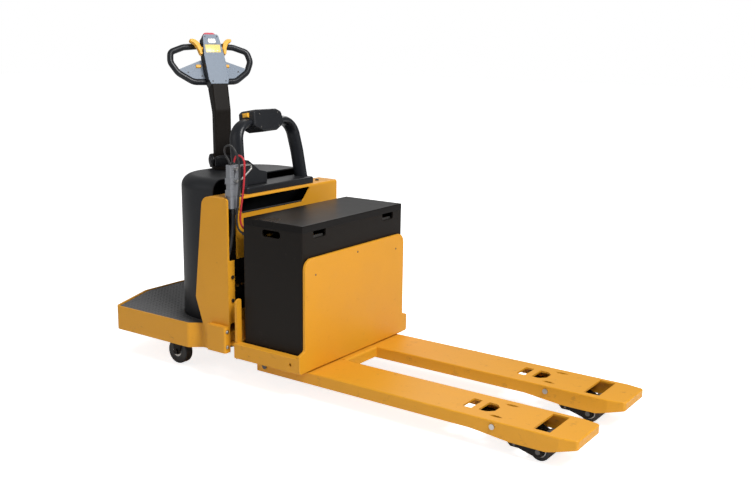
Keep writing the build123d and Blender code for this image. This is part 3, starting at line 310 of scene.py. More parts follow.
@dataclass(frozen=True)
class Finish:
    """One surface finish: its colour, gloss, relief and wear."""

    name: str
    colour: Colour
    roughness: float
    metallic: float = 0.0
    relief: Relief = Relief.ORANGE_PEEL
    grain: float = 700.0
    depth: float = 0.00004
    variation: float = 0.12
    worn: Colour = (0.25, 0.22, 0.18)
    wear: float = 0.3
    reach: float = 0.25
    dust: float = 0.15
    specular: float = 0.5

    def make(self, effects: Effects) -> bpy.types.Material:
        """Build the material once and return it.

        Args:
            effects: The shared node groups.

        Returns:
            The finished material.
        """
        found = bpy.data.materials.get(self.name)
        if found is not None:
            return found
        material = bpy.data.materials.new(self.name)
        material.use_nodes = True
        material.diffuse_color = (*self.colour, 1.0)
        tree = material.node_tree
        wear = add(tree, "Group", {"node_tree": effects.wear()}, Amount=self.wear, Reach=self.reach).outputs
        mask = add(tree, "Group", {"node_tree": effects.dust()}, Amount=self.dust).outputs["Mask"]
        relief = add(tree, "Group", {"node_tree": effects.relief(self.relief)}, Scale=self.grain).outputs
        dark, bright = self._shade(1 - self.variation), self._shade(1 + self.variation)
        base = self._mix(tree, wear["Clouds"], dark, bright)
        specks = reckon(tree, "MULTIPLY", wear["Specks"], SPECK_STRENGTH)
        speckled = self._mix(tree, specks, base, self._shade(SPECK_SHADE))
        scuffed = self._mix(tree, wear["Scuffs"], speckled, self.worn)
        smooth, dull = max(self.roughness - 0.07, 0.04), min(self.roughness + 0.09, 1.0)
        gloss = spread(tree, wear["Clouds"], 0.0, 1.0, smooth, dull)
        bump = add(tree, "Bump", Strength=BUMP_STRENGTH, Distance=self.depth, Height=relief["Height"])
        shader = tree.nodes["Principled BSDF"]
        for label, value in (
            ("Base Color", self._mix(tree, mask, scuffed, DUST_COLOUR)),
            ("Roughness", reckon(tree, "ADD", gloss, reckon(tree, "MULTIPLY", mask, 0.5), clamp=True)),
            ("Normal", bump.outputs["Normal"]),
            ("Metallic", self.metallic),
            ("Specular IOR Level", self.specular),
        ):
            feed(tree, shader.inputs[label], value)
        return material

    def _shade(self, by: float) -> Colour:
        """Return the colour made darker or brighter."""
        return tuple(min(c * by, 1.0) for c in self.colour)

    @staticmethod
    def _mix(tree: Tree, mask: Socket, first: object, second: object) -> Socket:
        """Mix two colours, each a socket or a plain colour, and return the result."""
        node = add(tree, "Mix", {"data_type": "RGBA"}, Factor=mask)
        ends = [socket for socket in node.inputs if socket.type == "RGBA"]
        for socket, value in zip(ends, (first, second)):
            feed(tree, socket, value if isinstance(value, Socket) else (*value, 1.0))
        return next(socket for socket in node.outputs if socket.type == "RGBA")


@dataclass(frozen=True)
class Moulded(Finish):
    """A moulded plastic with its grained skin."""

    relief: Relief = Relief.MOULDED
    grain: float = 1200.0


@dataclass(frozen=True)
class Rubber(Finish):
    """A rubber or soft plastic."""

    relief: Relief = Relief.RUBBER
    grain: float = 900.0


@dataclass(frozen=True)
class Brushed(Finish):
    """A worked metal with fine lines along it."""

    metallic: float = 1.0
    relief: Relief = Relief.BRUSHED
    grain: float = 900.0
    depth: float = 0.00002


@dataclass(frozen=True)
class Cast(Finish):
    """A cast metal with a coarse skin."""

    metallic: float = 0.9
    relief: Relief = Relief.CAST
    dust: float = 0.2


class Palette:
    """Every finish on the truck."""

    yellow = Finish("yellow_powder_coat", (0.70, 0.315, 0.018), 0.42, grain=620.0, depth=0.00005,
                    variation=0.05, worn=(0.30, 0.13, 0.02), wear=0.45, reach=0.35, dust=0.03, specular=0.3)
    black_paint = Finish("black_satin_paint", (0.0100, 0.0078, 0.0062), 0.48, grain=520.0, depth=0.00005,
                         variation=0.2, worn=(0.04, 0.036, 0.03), reach=0.4, dust=0.01, specular=0.15)
    lid_paint = Finish("black_lid_enamel", (0.0070, 0.0060, 0.0055), 0.28, grain=300.0, depth=0.00002,
                       variation=0.2, worn=(0.02, 0.02, 0.02), wear=0.25, dust=0.01, specular=0.12)
    membrane = Finish("pale_yellow_membrane", (0.93, 0.72, 0.24), 0.28, grain=900.0, depth=0.00002,
                      variation=0.03, worn=(0.6, 0.5, 0.3), wear=0.15, dust=0.04)
    floor = Finish("pale_studio_floor", (0.93, 0.93, 0.93), 0.75, grain=60.0, depth=0.00002, variation=0.01,
                   worn=(0.88, 0.88, 0.88), wear=0.1, dust=0.0, specular=0.2)
    black_plastic = Moulded("black_moulded_plastic", (0.0130, 0.0140, 0.0165), 0.40, grain=900.0,
                            depth=0.00010, variation=0.15, worn=(0.04, 0.04, 0.045), dust=0.03, specular=0.3)
    grip = Moulded("black_grip_skin", (0.0120, 0.0135, 0.0170), 0.34, grain=1300.0, depth=0.00008,
                   variation=0.2, worn=(0.04, 0.04, 0.05), dust=0.02, specular=0.35)
    grey_plastic = Moulded("grey_moulded_plastic", (0.185, 0.228, 0.290), 0.42, grain=1100.0, depth=0.00006,
                           variation=0.06, worn=(0.18, 0.2, 0.22), wear=0.35, dust=0.10)
    plug_grey = Moulded("grey_connector_plastic", (0.22, 0.23, 0.25), 0.5, grain=800.0, depth=0.00006,
                        worn=(0.10, 0.10, 0.10), wear=0.4, dust=0.12)
    yellow_plastic = Moulded("yellow_switch_plastic", (0.86, 0.43, 0.030), 0.32, variation=0.05,
                             worn=(0.45, 0.25, 0.05), wear=0.2, dust=0.04)
    red_plastic = Moulded("red_switch_plastic", (0.62, 0.045, 0.075), 0.34, variation=0.06,
                          worn=(0.35, 0.03, 0.04), wear=0.2, dust=0.04)
    white_plastic = Moulded("white_button_plastic", (0.85, 0.85, 0.83), 0.32, depth=0.00003, variation=0.03,
                            worn=(0.5, 0.48, 0.45), wear=0.2, dust=0.04)
    cell = Moulded("cell_case_plastic", (0.045, 0.048, 0.055), 0.45, grain=600.0, depth=0.00006,
                   variation=0.15, worn=(0.3, 0.28, 0.26), dust=0.3)
    red_lead = Rubber("red_lead_sleeve", (0.50, 0.020, 0.030), 0.42, depth=0.00006, variation=0.10,
                      worn=(0.2, 0.02, 0.02), dust=0.10)
    black_lead = Rubber("black_lead_sleeve", (0.016, 0.016, 0.017), 0.45, depth=0.00008, variation=0.2,
                        worn=(0.06, 0.06, 0.06))
    mat = Rubber("tread_mat_rubber", (0.088, 0.089, 0.092), 0.66, grain=520.0, depth=0.00016, variation=0.18,
                 worn=(0.10, 0.10, 0.10), wear=0.4, reach=0.5, dust=0.10)
    tyre = Rubber("dark_polyurethane", (0.022, 0.021, 0.021), 0.5, grain=300.0, depth=0.00012, variation=0.2,
                  worn=(0.12, 0.11, 0.10), wear=0.5, reach=0.2, dust=0.25)
    steel = Brushed("plated_steel", (0.50, 0.49, 0.47), 0.30, worn=(0.20, 0.15, 0.11), wear=0.5, dust=0.10)
    dark_steel = Brushed("oiled_steel", (0.10, 0.095, 0.09), 0.38, metallic=0.9, grain=700.0, depth=0.00003,
                         variation=0.2, worn=(0.15, 0.10, 0.07), wear=0.6, dust=0.2)
    brass = Brushed("brass_stud", (0.55, 0.36, 0.12), 0.33, variation=0.1, worn=(0.2, 0.13, 0.06), wear=0.4,
                    dust=0.1)
    cast = Cast("cast_iron", (0.09, 0.088, 0.085), 0.55, metallic=0.7, grain=240.0, depth=0.0003,
                variation=0.2, worn=(0.16, 0.10, 0.06), wear=0.5, dust=0.25)
    alloy = Cast("cast_alloy", (0.46, 0.47, 0.48), 0.42, grain=380.0, depth=0.00015, worn=(0.25, 0.25, 0.25))
    lead_metal = Cast("cast_lead", (0.20, 0.205, 0.215), 0.55, metallic=0.8, grain=420.0, depth=0.0002,
                      variation=0.2, worn=(0.42, 0.44, 0.42), wear=0.4)


# ---------------------------------------------------------------- modelling bench


class Bench:
    """Modelling steps that every sub-assembly uses."""

    def __init__(self, effects: Effects) -> None:
        """Keep the shared effects for dressing pieces."""
        self.effects = effects

    @staticmethod
    def clear() -> None:
        """Leave edit mode and deselect everything."""
        if bpy.context.object is not None and bpy.context.object.mode != "OBJECT":
            bpy.ops.object.mode_set(mode="OBJECT")
        bpy.ops.object.select_all(action="DESELECT")

    @staticmethod
    def named(name: str) -> Piece:
        """Name the object just added, apply its placing and return it."""
        piece = bpy.context.object
        piece.name = piece.data.name = name
        bpy.ops.object.transform_apply(location=True, rotation=True, scale=True)
        return piece

    def block(self, name: str, low: Vector, high: Vector) -> Piece:
        """Add a box between two corners, to be shaped further."""
        self.clear()
        bpy.ops.mesh.primitive_cube_add(size=1.0, location=(low + high) / 2, scale=high - low)
        return self.named(name)

    def drum(self, name: str, radius: float, height: float, sides: int = 24, top: float | None = None,
             base: float = 0.0) -> Piece:
        """Add a round or tapered start piece that stands on its own z axis.

        Args:
            name: The piece's name.
            radius: Radius at the foot, in metres.
            height: Height in metres.
            sides: Number of sides.
            top: Radius at the top, the same as the foot if left out.
            base: Height of the foot above the origin.

        Returns:
            The new object.
        """
        self.clear()
        bpy.ops.mesh.primitive_cone_add(vertices=sides, radius1=radius,
                                        radius2=radius if top is None else top,
                                        depth=height, location=(0, 0, base + height / 2))
        return self.named(name)

    @staticmethod
    def pick(piece: Piece, wanted: Test) -> None:
        """Enter edit mode and select the faces whose centre and normal pass a test."""
        bpy.context.view_layer.objects.active = piece
        piece.select_set(True)
        if piece.mode != "EDIT":
            bpy.ops.object.mode_set(mode="EDIT")
        bpy.ops.mesh.select_mode(type="FACE")
        bpy.ops.mesh.select_all(action="DESELECT")
        mesh = bmesh.from_edit_mesh(piece.data)
        for face in mesh.faces:
            face.select_set(wanted(face.calc_center_median(), face.normal))
        bmesh.update_edit_mesh(piece.data)

    def stretch(self, piece: Piece, wanted: Test, scale: tuple[float, float, float],
                about: Vector | None = None) -> None:
        """Scale the wanted faces about their middle or a given place."""
        self.pick(piece, wanted)
        pivot = {} if about is None else {"center_override": about}
        bpy.ops.transform.resize(value=scale, **pivot)
        bpy.ops.object.mode_set(mode="OBJECT")

    def draw_up(self, piece: Piece, height: float, x: float, y: float) -> None:
        """Extrude the top faces by a height and scale them along x and y."""
        self.pick(piece, upward)
        bpy.ops.mesh.extrude_region_move(TRANSFORM_OT_translate={"value": (0, 0, height)})
        bpy.ops.transform.resize(value=(x, y, 1.0))
        bpy.ops.object.mode_set(mode="OBJECT")

    def step(self, piece: Piece, inset: float, depth: float, wanted: Test = upward) -> None:
        """Inset the wanted faces and move them outwards by depth, or inwards where it is negative."""
        self.pick(piece, wanted)
        bpy.ops.mesh.inset(thickness=inset, depth=0.0)
        if depth:
            bpy.ops.mesh.extrude_region_shrink_fatten(TRANSFORM_OT_shrink_fatten={"value": depth})
        bpy.ops.object.mode_set(mode="OBJECT")

    def soften(self, piece: Piece, width: float, segments: int = 2, angle: float = 32.0) -> None:
        """Round a piece's edges with an applied bevel, then shade it smooth by angle."""
        self.clear()
        bpy.context.view_layer.objects.active = piece
        piece.select_set(True)
        bevel = piece.modifiers.new("rounding", "BEVEL")
        bevel.width = width
        bevel.segments = segments
        bevel.limit_method = "ANGLE"
        bevel.angle_limit = math.radians(angle)
        bpy.ops.object.modifier_apply(modifier=bevel.name)
        bpy.ops.object.shade_smooth_by_angle(angle=math.radians(35))

    def join(self, first: Piece, *others: Piece) -> Piece:
        """Join pieces into the first one and return it."""
        self.clear()
        for piece in (first, *others):
            piece.select_set(True)
        bpy.context.view_layer.objects.active = first
        if others:
            bpy.ops.object.join()
        return bpy.context.object

    def repeat(self, master: Piece, places: list[Matrix], name: str) -> Piece:
        """Copy a master piece to several places and join the copies.

        Args:
            master: The modelled piece, which is used up.
            places: Where each copy goes.
            name: The joined piece's name.

        Returns:
            The joined piece, at the origin.
        """
        copies = []
        for place in places:
            copy = master.copy()
            copy.data = master.data.copy()
            copy.data.transform(place)
            bpy.context.scene.collection.objects.link(copy)
            copies.append(copy)
        joined = self.join(*copies)
        joined.name = joined.data.name = name
        bpy.data.objects.remove(master)
        return joined

    def dress(self, piece: Piece, finish: Finish, slot: str, body: str | None) -> Piece:
        """Give a piece its finish, its material slot and the body it rides on, and report it."""
        piece.data.materials.clear()
        piece.data.materials.append(finish.make(self.effects))
        if body is not None:
            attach(piece, body)
        LOG.info("%s: %s on %s", piece.name, finish.name, body or "two bodies")
        return piece

    def set_out(self, master: Piece, places: list[Matrix], name: str, finish: Finish, slot: str,
                body: str) -> Piece:
        """Repeat a master piece at its places, then dress what comes out."""
        return self.dress(self.repeat(master, places, name), finish, slot, body)

    def screw(self, radius: float, height: float, socket: float = 0.5) -> Piece:
        """Model a button-head screw with a hexagon socket, standing on the origin."""
        head = self.drum("screw_start", radius, height * 0.45, 24)
        self.draw_up(head, height * 0.55, 0.72, 0.72)
        self.step(head, radius * 0.72 * (1 - socket), -height * 0.5)
        self.soften(head, radius * 0.06, 1, 40.0)
        return head

    def screws(self, name: str, radius: float, height: float, places: list[Matrix], body: str) -> None:
        """Set one screw out at several places, its sizes in millimetres."""
        self.set_out(self.screw(radius * MM, height * MM), places, name, Palette.dark_steel, "steel", body)

    def bolt(self, name: str, radius: float, height: float) -> Piece:
        """Model a hexagon bolt head on its washer, standing on the origin."""
        washer = self.drum(name, radius * 1.25, height * 0.22, 32)
        self.step(washer, radius * 0.3, 0.0)
        head = self.drum(name + "_hex", radius, height * 0.78, 6, base=height * 0.22)
        self.step(head, radius * 0.12, height * 0.06)
        self.soften(head, radius * 0.05, 1, 25.0)
        return self.join(washer, head)


# ---------------------------------------------------------------- sub-assemblies


@dataclass
class Assembly:
    """A sub-assembly: the bench it is made on and the frame it fits."""

    bench: Bench
    frame: dict

    def paint(self, finish: Finish, *nodes: str) -> None:
        """Give CAD nodes a finish."""
        for node in nodes:
            for place in self.frame["nodes"][node].material_slots:
                place.material = finish.make(self.bench.effects)
            LOG.info("%s: %s", node, finish.name)


@dataclass
class ForkGear(Assembly):
    """Forks with their load wheels, arms, rods and wheel seals, and black plates that paint the shadow seen
    through the fork windows.
    """

    fork_y: float = 232.0
    axle: tuple[float, float] = (1058.5, 41.0)
    seal: float = 24.0
    wheel_face: float = 69.2
    # Where the black painted-shadow plates sit by the fork windows.
    shadow_plate_at: tuple[float, float, float] = (772.0, 84.8, 80.6)

    def build(self) -> None:
        """Paint the nodes and add wheel seals and the black plates that paint the shadow in the fork windows.
        """
        both = [side for side, _ in HANDS]
        self.paint(Palette.yellow, *(f"fork_{s}" for s in both))
        self.paint(Palette.black_paint, *(f"load_arm_{s}" for s in both))
        self.paint(Palette.tyre, *(f"load_wheel_{s}" for s in both))
        self.paint(Palette.steel, "fork_pins")
        self.paint(Palette.dark_steel, "heel_crank",
                   *(f"{part}_{s}" for part in ("arm_pins", "pull_rod", "entry_roller") for s in both))
        for side, hand in HANDS:
            self.wheel_seals(side, hand)
        self.painted_shadow_plates()

    def painted_shadow_plates(self) -> None:
        """Add ribbed black strips, shaped as stiffeners, inside the forks' lower edges by the windows; they
        are painted shadow that darkens the view through the windows.
        """
        shadow_plate = self.bench.block("shadow_plate_start", mm(-78, -21, -1.6), mm(78, 21, 1.6))
        self.bench.step(shadow_plate, 9 * MM, 2.2 * MM)
        self.bench.step(shadow_plate, 4 * MM, -1.4 * MM)
        self.bench.soften(shadow_plate, 0.7 * MM)
        x, out, z = self.shadow_plate_at
        places = [placed(x, hand * self.fork_y + way * out, z) for hand in (-1, 1) for way in (-1, 1)]
        # Painted shadow: these black plates darken the view through the fork windows.
        self.bench.set_out(shadow_plate, places, "fork_painted_shadow_plates", Palette.black_paint, "black_paint", "lift_frame")

    def wheel_seals(self, side: str, hand: int) -> None:
        """Add the pressed bearing shields in both faces of a load wheel."""
        shield = self.bench.drum("shield_start", self.seal * MM, 2.4 * MM, 40)
        self.bench.step(shield, 3.0 * MM, -0.8 * MM)
        self.bench.step(shield, 5.0 * MM, 0.9 * MM)
        self.bench.soften(shield, 0.3 * MM)
        x, z = self.axle
        places = both_ways(x, hand * self.fork_y, self.wheel_face, z)
        self.bench.set_out(shield, places, f"load_wheel_seals_{side}", Palette.steel, "steel",
                           f"load_wheel_{side}_body")


@dataclass
class LoadRest(Assembly):
    """Backrest, tray and lifting posts, with the backrest's screws."""

    screws: tuple[tuple[float, float], ...] = ((-300, 550), (0, 597), (305, 559))
    screw_seat: float = -2.4

    def build(self) -> None:
        """Paint the nodes and add the screws."""
        self.paint(Palette.yellow, "battery_tray", "backrest", "guide_posts")
        self.paint(Palette.steel, "lift_ram")
        places = [facing(station(self.screw_seat, y, z), AHEAD) for y, z in self.screws]
        self.bench.screws("backrest_screws", 4.6, 2.6, places, "lift_frame")


@dataclass
class BatteryBox(Assembly):
    """Battery case, cells and lid, with what shows when the lid is off."""

    columns: int = 6
    cell_top: float = 676.0
    span: tuple[float, float] = (-362.5, 362.5)
    rows: tuple[float, float] = (-257.25, -101.75)
    cap_lift: float = 11.2
    post_shift: float = 46.0
    screw_face: float = 368.6
    tab_at: tuple[float, float, float] = (-23.2, 255.0, 703.2)

    def build(self) -> None:
        """Paint the nodes and add links, vent caps and lid fittings."""
        self.paint(Palette.black_paint, "battery_case")
        self.paint(Palette.lid_paint, "battery_lid")
        self.paint(Palette.cell, "battery_cells")
        self.vent_caps()
        self.cell_links()
        places = [*both_ways(-300, 0, self.screw_face, 750), *both_ways(-60, 0, self.screw_face, 750)]
        self.bench.screws("lid_screws", 5.0, 2.8, places, "battery_cover")
        self.hand_hole_tabs()

    @property
    def pitch(self) -> float:
        """The distance from one cell column to the next."""
        return (self.span[1] - self.span[0]) / self.columns

    def _cell_y(self, place: float) -> float:
        """Return a cell column's middle along y."""
        return self.span[0] + self.pitch * (place + 0.5)

    def vent_caps(self) -> None:
        """Add a flip-top filler cap on every cell."""
        cap = self.bench.drum("cap_start", 15.5 * MM, 9 * MM, 28, top=14.5 * MM)
        self.bench.step(cap, 3.0 * MM, -1.2 * MM)
        self.bench.step(cap, 4.0 * MM, 2.4 * MM)
        self.bench.soften(cap, 0.5 * MM)
        places = [placed(x, self._cell_y(i), self.cell_top + self.cap_lift)
                  for x in self.rows for i in range(self.columns)]
        self.bench.set_out(cap, places, "vent_caps", Palette.yellow_plastic, "yellow_plastic", "lift_frame")

    def cell_links(self) -> None:
        """Add the lead bars that join each cell to the next."""
        reach = self.pitch / 2 - 12
        bar = self.bench.block("link_start", mm(-11, -reach, 0), mm(11, reach, 7))
        self.bench.step(bar, 4.0 * MM, 1.6 * MM)
        self.bench.soften(bar, 1.4 * MM, 3)
        places = []
        for row, x in enumerate(self.rows):
            for i in range(self.columns - 1):
                shift = self.post_shift if (i + row) % 2 else -self.post_shift
                places.append(placed(x + shift, self._cell_y(i + 0.5), self.cell_top - 0.3))
        self.bench.set_out(bar, places, "cell_links", Palette.lead_metal, "steel", "lift_frame")

    def hand_hole_tabs(self) -> None:
        """Add the folded steel tabs that lie in the front hand holes."""
        tab = self.bench.block("tab_start", mm(-4, -34, 0), mm(0, 34, 5))
        self.bench.step(tab, 1.2 * MM, 7 * MM)
        self.bench.soften(tab, 0.7 * MM)
        x, out, z = self.tab_at
        places = [placed(x, way * out, z) for way in (-1, 1)]
        self.bench.set_out(tab, places, "hand_hole_tabs", Palette.dark_steel, "steel", "lift_frame")


@dataclass
class TractorBody(Assembly):
    """Folded tractor body with pump, controller, bolts and edge trim."""

    pump: tuple[float, float] = (-292.0, 434.0)
    stud_x: float = -445.6
    stud_gap: float = 15.0
    bolt_rows: tuple[float, float] = (176.0, 246.0)
    caster: tuple[float, float, float] = (-813.0, 312.0, 60.0)
    caster_face: float = 21.2

    def build(self) -> None:
        """Paint the nodes and add small parts behind the bulkhead."""
        self.paint(Palette.yellow, "chassis")
        self.paint(Palette.black_plastic, "top_pad")
        self.paint(Palette.dark_steel, "top_bolts")
        self.paint(Palette.black_paint, "hydraulic_pack", "lift_cylinder", "steer_mount", "drive_motor",
                   "caster_fork_left", "caster_fork_right")
        self.paint(Palette.alloy, "controller")
        self.paint(Palette.cast, "gearbox", "drive_hub")
        self.paint(Palette.tyre, "drive_tyre", "caster_wheel_left", "caster_wheel_right")
        self.skirt_bolts()
        self.pump_studs()
        self.slot_trim()
        self.caster_caps()

    def skirt_bolts(self) -> None:
        """Add hexagon bolts along the skirt's front."""
        bolt = self.bench.bolt("bolt_start", 7 * MM, 6 * MM)
        places = [facing(station(-418, way * 405, z), AHEAD) for way in (-1, 1) for z in self.bolt_rows]
        self.bench.set_out(bolt, places, "skirt_bolts", Palette.steel, "steel", "tractor")

    def pump_studs(self) -> None:
        """Add the terminal studs on the pump motor's end."""
        stud = self.bench.bolt("stud_start", 6 * MM, 11 * MM)
        places = [facing(station(self.stud_x, self.pump[0] + turn * self.stud_gap, self.pump[1] + 4), AHEAD)
                  for turn in (-1, 1)]
        self.bench.set_out(stud, places, "pump_studs", Palette.brass, "steel", "tractor")

    def slot_trim(self) -> None:
        """Add the rolled rubber edging along the window in the bulkhead's top."""
        trim = self.bench.block("window_trim", station(-428, -296, 765.5), station(-416.6, 118, 769.5))
        self.bench.step(trim, 1.0 * MM, 1.2 * MM)
        self.bench.soften(trim, 1.2 * MM, 3)
        self.bench.dress(trim, Palette.black_lead, "lead_black", "tractor")

    def caster_caps(self) -> None:
        """Add the pressed bearing shields in the casters' faces."""
        x, out, z = self.caster
        for side, hand in HANDS:
            shield = self.bench.drum("shield_start", 26 * MM, 1.6 * MM, 36)
            self.bench.step(shield, 4 * MM, -0.6 * MM)
            self.bench.soften(shield, 0.3 * MM)
            places = both_ways(x, hand * out, self.caster_face, z)
            self.bench.set_out(shield, places, f"caster_shields_{side}", Palette.steel, "steel",
                               f"caster_wheel_{side}_body")


@dataclass
class Platform(Assembly):
    """The driver's platform with its tread mat."""

    pitch: float = 21.0
    top: float = 240.0
    margin: float = 8.0
    half: float = 400.0
    front: float = -616.0
    rear: float = -1246.0
    rear_cut: tuple[float, float] = (118.0, 0.37)
    front_cut: tuple[float, float] = (-664.0, 0.78)
    cover_rear: float = -914.0
    cover_half: float = 322.0
    cover_round: tuple[float, float, float] = (-674.0, 82.0, 240.0)

    def build(self) -> None:
        """Paint the nodes and lay the raised tread."""
        self.paint(Palette.yellow, "platform_frame")
        self.paint(Palette.mat, "platform_mat")
        self.tread()

    def on_mat(self, x: float, y: float) -> bool:
        """Tell whether a raised block at a station lies wholly on the mat."""
        edge, side = self.margin, abs(y)
        if side > self.half - edge or not self.rear + edge <= x <= self.front - edge:
            return False
        start, slope = self.rear_cut
        if x < self.rear + (side - start) * slope + edge:
            return False
        start, slope = self.front_cut
        if side > self.half - max(0.0, x - start) * slope - edge:
            return False
        if x > self.cover_rear - edge and side < self.cover_half + edge:
            middle, out, radius = self.cover_round
            return x <= middle and side >= out and math.hypot(x - middle, side - out) > radius + edge
        return True

    def tread(self) -> None:
        """Lay one small lozenge many times, turned by a right angle from place to place."""
        lozenge = self.bench.drum("lozenge_start", 6.4 * MM, 0.9 * MM, 8, top=5.6 * MM)
        self.bench.stretch(lozenge, lambda centre, normal: True, (1.35, 0.42, 1.0))
        self.bench.step(lozenge, 0.9 * MM, 0.5 * MM)
        places = []
        half = self.pitch / 2
        for row in range(-20, 21):
            for column in range(62):
                x, y = self.rear + 2 + column * half, row * self.pitch + (half if column % 2 else 0)
                if self.on_mat(x, y):
                    turn = Matrix.Rotation(math.radians(45 if column % 2 else -45), 4, "Z")
                    places.append(placed(x, y, self.top - 0.1) @ turn)
        self.bench.set_out(lozenge, places, "tread_blocks", Palette.mat, "mat_rubber", "tractor")
        LOG.info("tread: %d raised blocks", len(places))


@dataclass
class MotorCover(Assembly):
    """The moulded motor cover with its screws, its louvres and the seal round the column."""

    half: float = 320.0
    seal: tuple[float, float, float] = (35.0, 5.6, 898.5)
    louvres: int = 9
    louvre_pitch: float = 22.0

    def build(self) -> None:
        """Paint the cover and add screws, the column seal and louvres."""
        self.paint(Palette.black_plastic, "motor_cover")
        places = [facing(station(x, way * (self.half - 0.2), z), LEFT * way)
                  for way in (-1, 1) for x, z in ((-604, 280), (-652, 280), (-604, 560), (-604, 800))]
        self.bench.screws("cover_screws", 8, 4, places, "tractor")
        self.column_seal()
        self.cover_louvres()

    def column_seal(self) -> None:
        """Add the rubber ring in the cover's collar hole."""
        radius, thick, height = self.seal
        self.bench.clear()
        bpy.ops.mesh.primitive_torus_add(major_radius=radius * MM, minor_radius=thick * MM, major_segments=48,
                                         minor_segments=12, location=station(HUB_X, 0, height))
        seal = self.bench.named("column_seal")
        self.bench.stretch(seal, lambda centre, normal: normal.z > 0.6, (1.0, 1.0, 0.35),
                           station(HUB_X, 0, height + 4))
        bpy.ops.object.shade_smooth_by_angle(angle=math.radians(40))
        self.bench.dress(seal, Palette.black_lead, "lead_black", "tractor")

    def cover_louvres(self) -> None:
        """Add the raised cooling louvres on the cover's rear face."""
        rib = self.bench.block("rib_start", mm(-0.5, -74, -4), mm(2.6, 74, 4))
        self.bench.stretch(rib, forward, (1.0, 0.97, 0.45))
        self.bench.soften(rib, 0.8 * MM)
        turn = Matrix.Rotation(math.pi, 4, "Z")
        places = [placed(-911.8, 0, 400 + self.louvre_pitch * i) @ turn for i in range(self.louvres)]
        self.bench.set_out(rib, places, "cover_louvres", Palette.black_plastic, "black_plastic", "tractor")


@dataclass
class GrabBar(Assembly):
    """Grab bar, jog pod and key housing."""

    lean: float = math.radians(-10)
    foot_x: float = -500.0
    rise: float = 272.0
    top: float = 1142.0
    pod_y: float = -14.0

    def build(self) -> None:
        """Paint the nodes, and add the key switch and the pod's screws."""
        self.paint(Palette.grip, "grab_bar")
        self.paint(Palette.black_plastic, "jog_pod", "bar_housing")
        self.paint(Palette.yellow_plastic, "jog_button")
        self.key_switch()
        self.pod_screws()

    def key_switch(self) -> None:
        """Model the lock's bezel with its key slot, on the key housing's rear face."""
        bezel = self.bench.drum("key_switch", 13 * MM, 5 * MM, 36, top=11.5 * MM)
        self.bench.step(bezel, 3.0 * MM, -1.5 * MM)
        self.bench.soften(bezel, 0.4 * MM)
        slot = self.bench.block("key_slot", mm(-1, -5, 3.2), mm(1, 5, 4.3))
        self.bench.soften(slot, 0.3 * MM)
        places = [facing(station(-535.6, -138, 905), -AHEAD)]
        lock = self.bench.join(bezel, slot)
        self.bench.set_out(lock, places, "key_switch", Palette.steel, "steel", "tractor")

    def pod_screws(self) -> None:
        """Add four screws in the jog pod's front face."""
        middle = station(self.foot_x - self.rise * math.tan(-self.lean), self.pod_y, self.top)
        pod = Matrix.Translation(middle) @ Matrix.Rotation(self.lean, 4, "Y")
        places = [pod @ facing(mm(49.8, y, z), AHEAD) for z in (-26, 34) for y in (-62, 62)]
        self.bench.screws("pod_screws", 4.5, 2.5, places, "tractor")


@dataclass
class Tiller(Assembly):
    """Tiller base, arm and head."""

    def build(self) -> None:
        """Paint the nodes and add the guard, pivot caps, status panel and screws."""
        self.paint(Palette.black_paint, "tiller_base", "tiller_arm")
        self.paint(Palette.steel, "tilt_pin")
        self.paint(Palette.black_plastic, "head_shell")
        self.paint(Palette.grip, "handle_loop")
        self.paint(Palette.grey_plastic, "face_panel", "wing_plates")
        self.paint(Palette.yellow_plastic, "throttle", "lift_button", "lower_button")
        self.paint(Palette.red_plastic, "belly_button")
        self.paint(Palette.white_plastic, "horn_button")
        self.guard()
        self.pivot_caps()
        self.status_panel()
        self.head_screws()

    def guard(self) -> None:
        """Model the crowned guard in front of the tilt bearing."""
        guard = self.bench.block("tiller_guard", mm(13.5, -56, 916.4), mm(24, 56, 958))
        self.bench.draw_up(guard, 10 * MM, 0.6, 0.72)
        self.bench.step(guard, 7 * MM, 2.5 * MM, forward)
        self.bench.soften(guard, 4.0 * MM, 4)
        guard.data.transform(steered())
        self.bench.dress(guard, Palette.black_plastic, "black_plastic", "steer_unit")

    def pivot_caps(self) -> None:
        """Model the domed covers over the tilt pin's ends."""
        cap = self.bench.drum("cap_start", 31 * MM, 7 * MM, 40, top=29 * MM)
        self.bench.step(cap, 5 * MM, 3.5 * MM)
        self.bench.step(cap, 8 * MM, 1.8 * MM)
        self.bench.soften(cap, 2.0 * MM, 3, 20.0)
        places = [steered() @ facing(mm(-29, way * 53.5, 940), LEFT * way) for way in (-1, 1)]
        self.bench.set_out(cap, places, "pivot_caps", Palette.black_plastic, "black_plastic", "steer_unit")

    def status_panel(self) -> None:
        """Model the status panel in the face's recess, with three plain soft keys."""
        panel = self.bench.block("status_panel", mm(-1.6, -37.6, 164.4), mm(-0.5, 37.6, 205.6))
        self.bench.step(panel, 2.2 * MM, 0.7 * MM, forward)
        self.bench.soften(panel, 0.3 * MM)
        panel.data.transform(headed())
        self.bench.dress(panel, Palette.membrane, "yellow_plastic", "tiller")
        key = self.bench.drum("key_start", 3.4 * MM, 0.5 * MM, 24, top=3.0 * MM)
        self.bench.step(key, 0.8 * MM, 0.25 * MM)
        places = [headed() @ facing(mm(0.2, y, 173), AHEAD) for y in (-20, 0, 20)]
        self.bench.set_out(key, places, "status_keys", Palette.white_plastic, "white_plastic", "tiller")

    def head_screws(self) -> None:
        """Add four screws in the face panel and two in each wing plate."""
        face = [(-0.6, y, z) for y, z in ((-33, 14), (33, 14), (-30, 248), (30, 248))]
        wings = [(-51.2, way * y, z) for way in (-1, 1) for y, z in ((62, 64), (128, 84))]
        for name, radius, height, spots in (("face_screws", 3.4, 2.0, face), ("wing_screws", 3.6, 2.2, wings)):
            places = [headed() @ facing(mm(*spot), AHEAD) for spot in spots]
            self.bench.screws(name, radius, height, places, "tiller")


class Sleeve(Enum):
    """The two sleeve colours of the battery leads."""

    RED = "lead_red"
    BLACK = "lead_black"


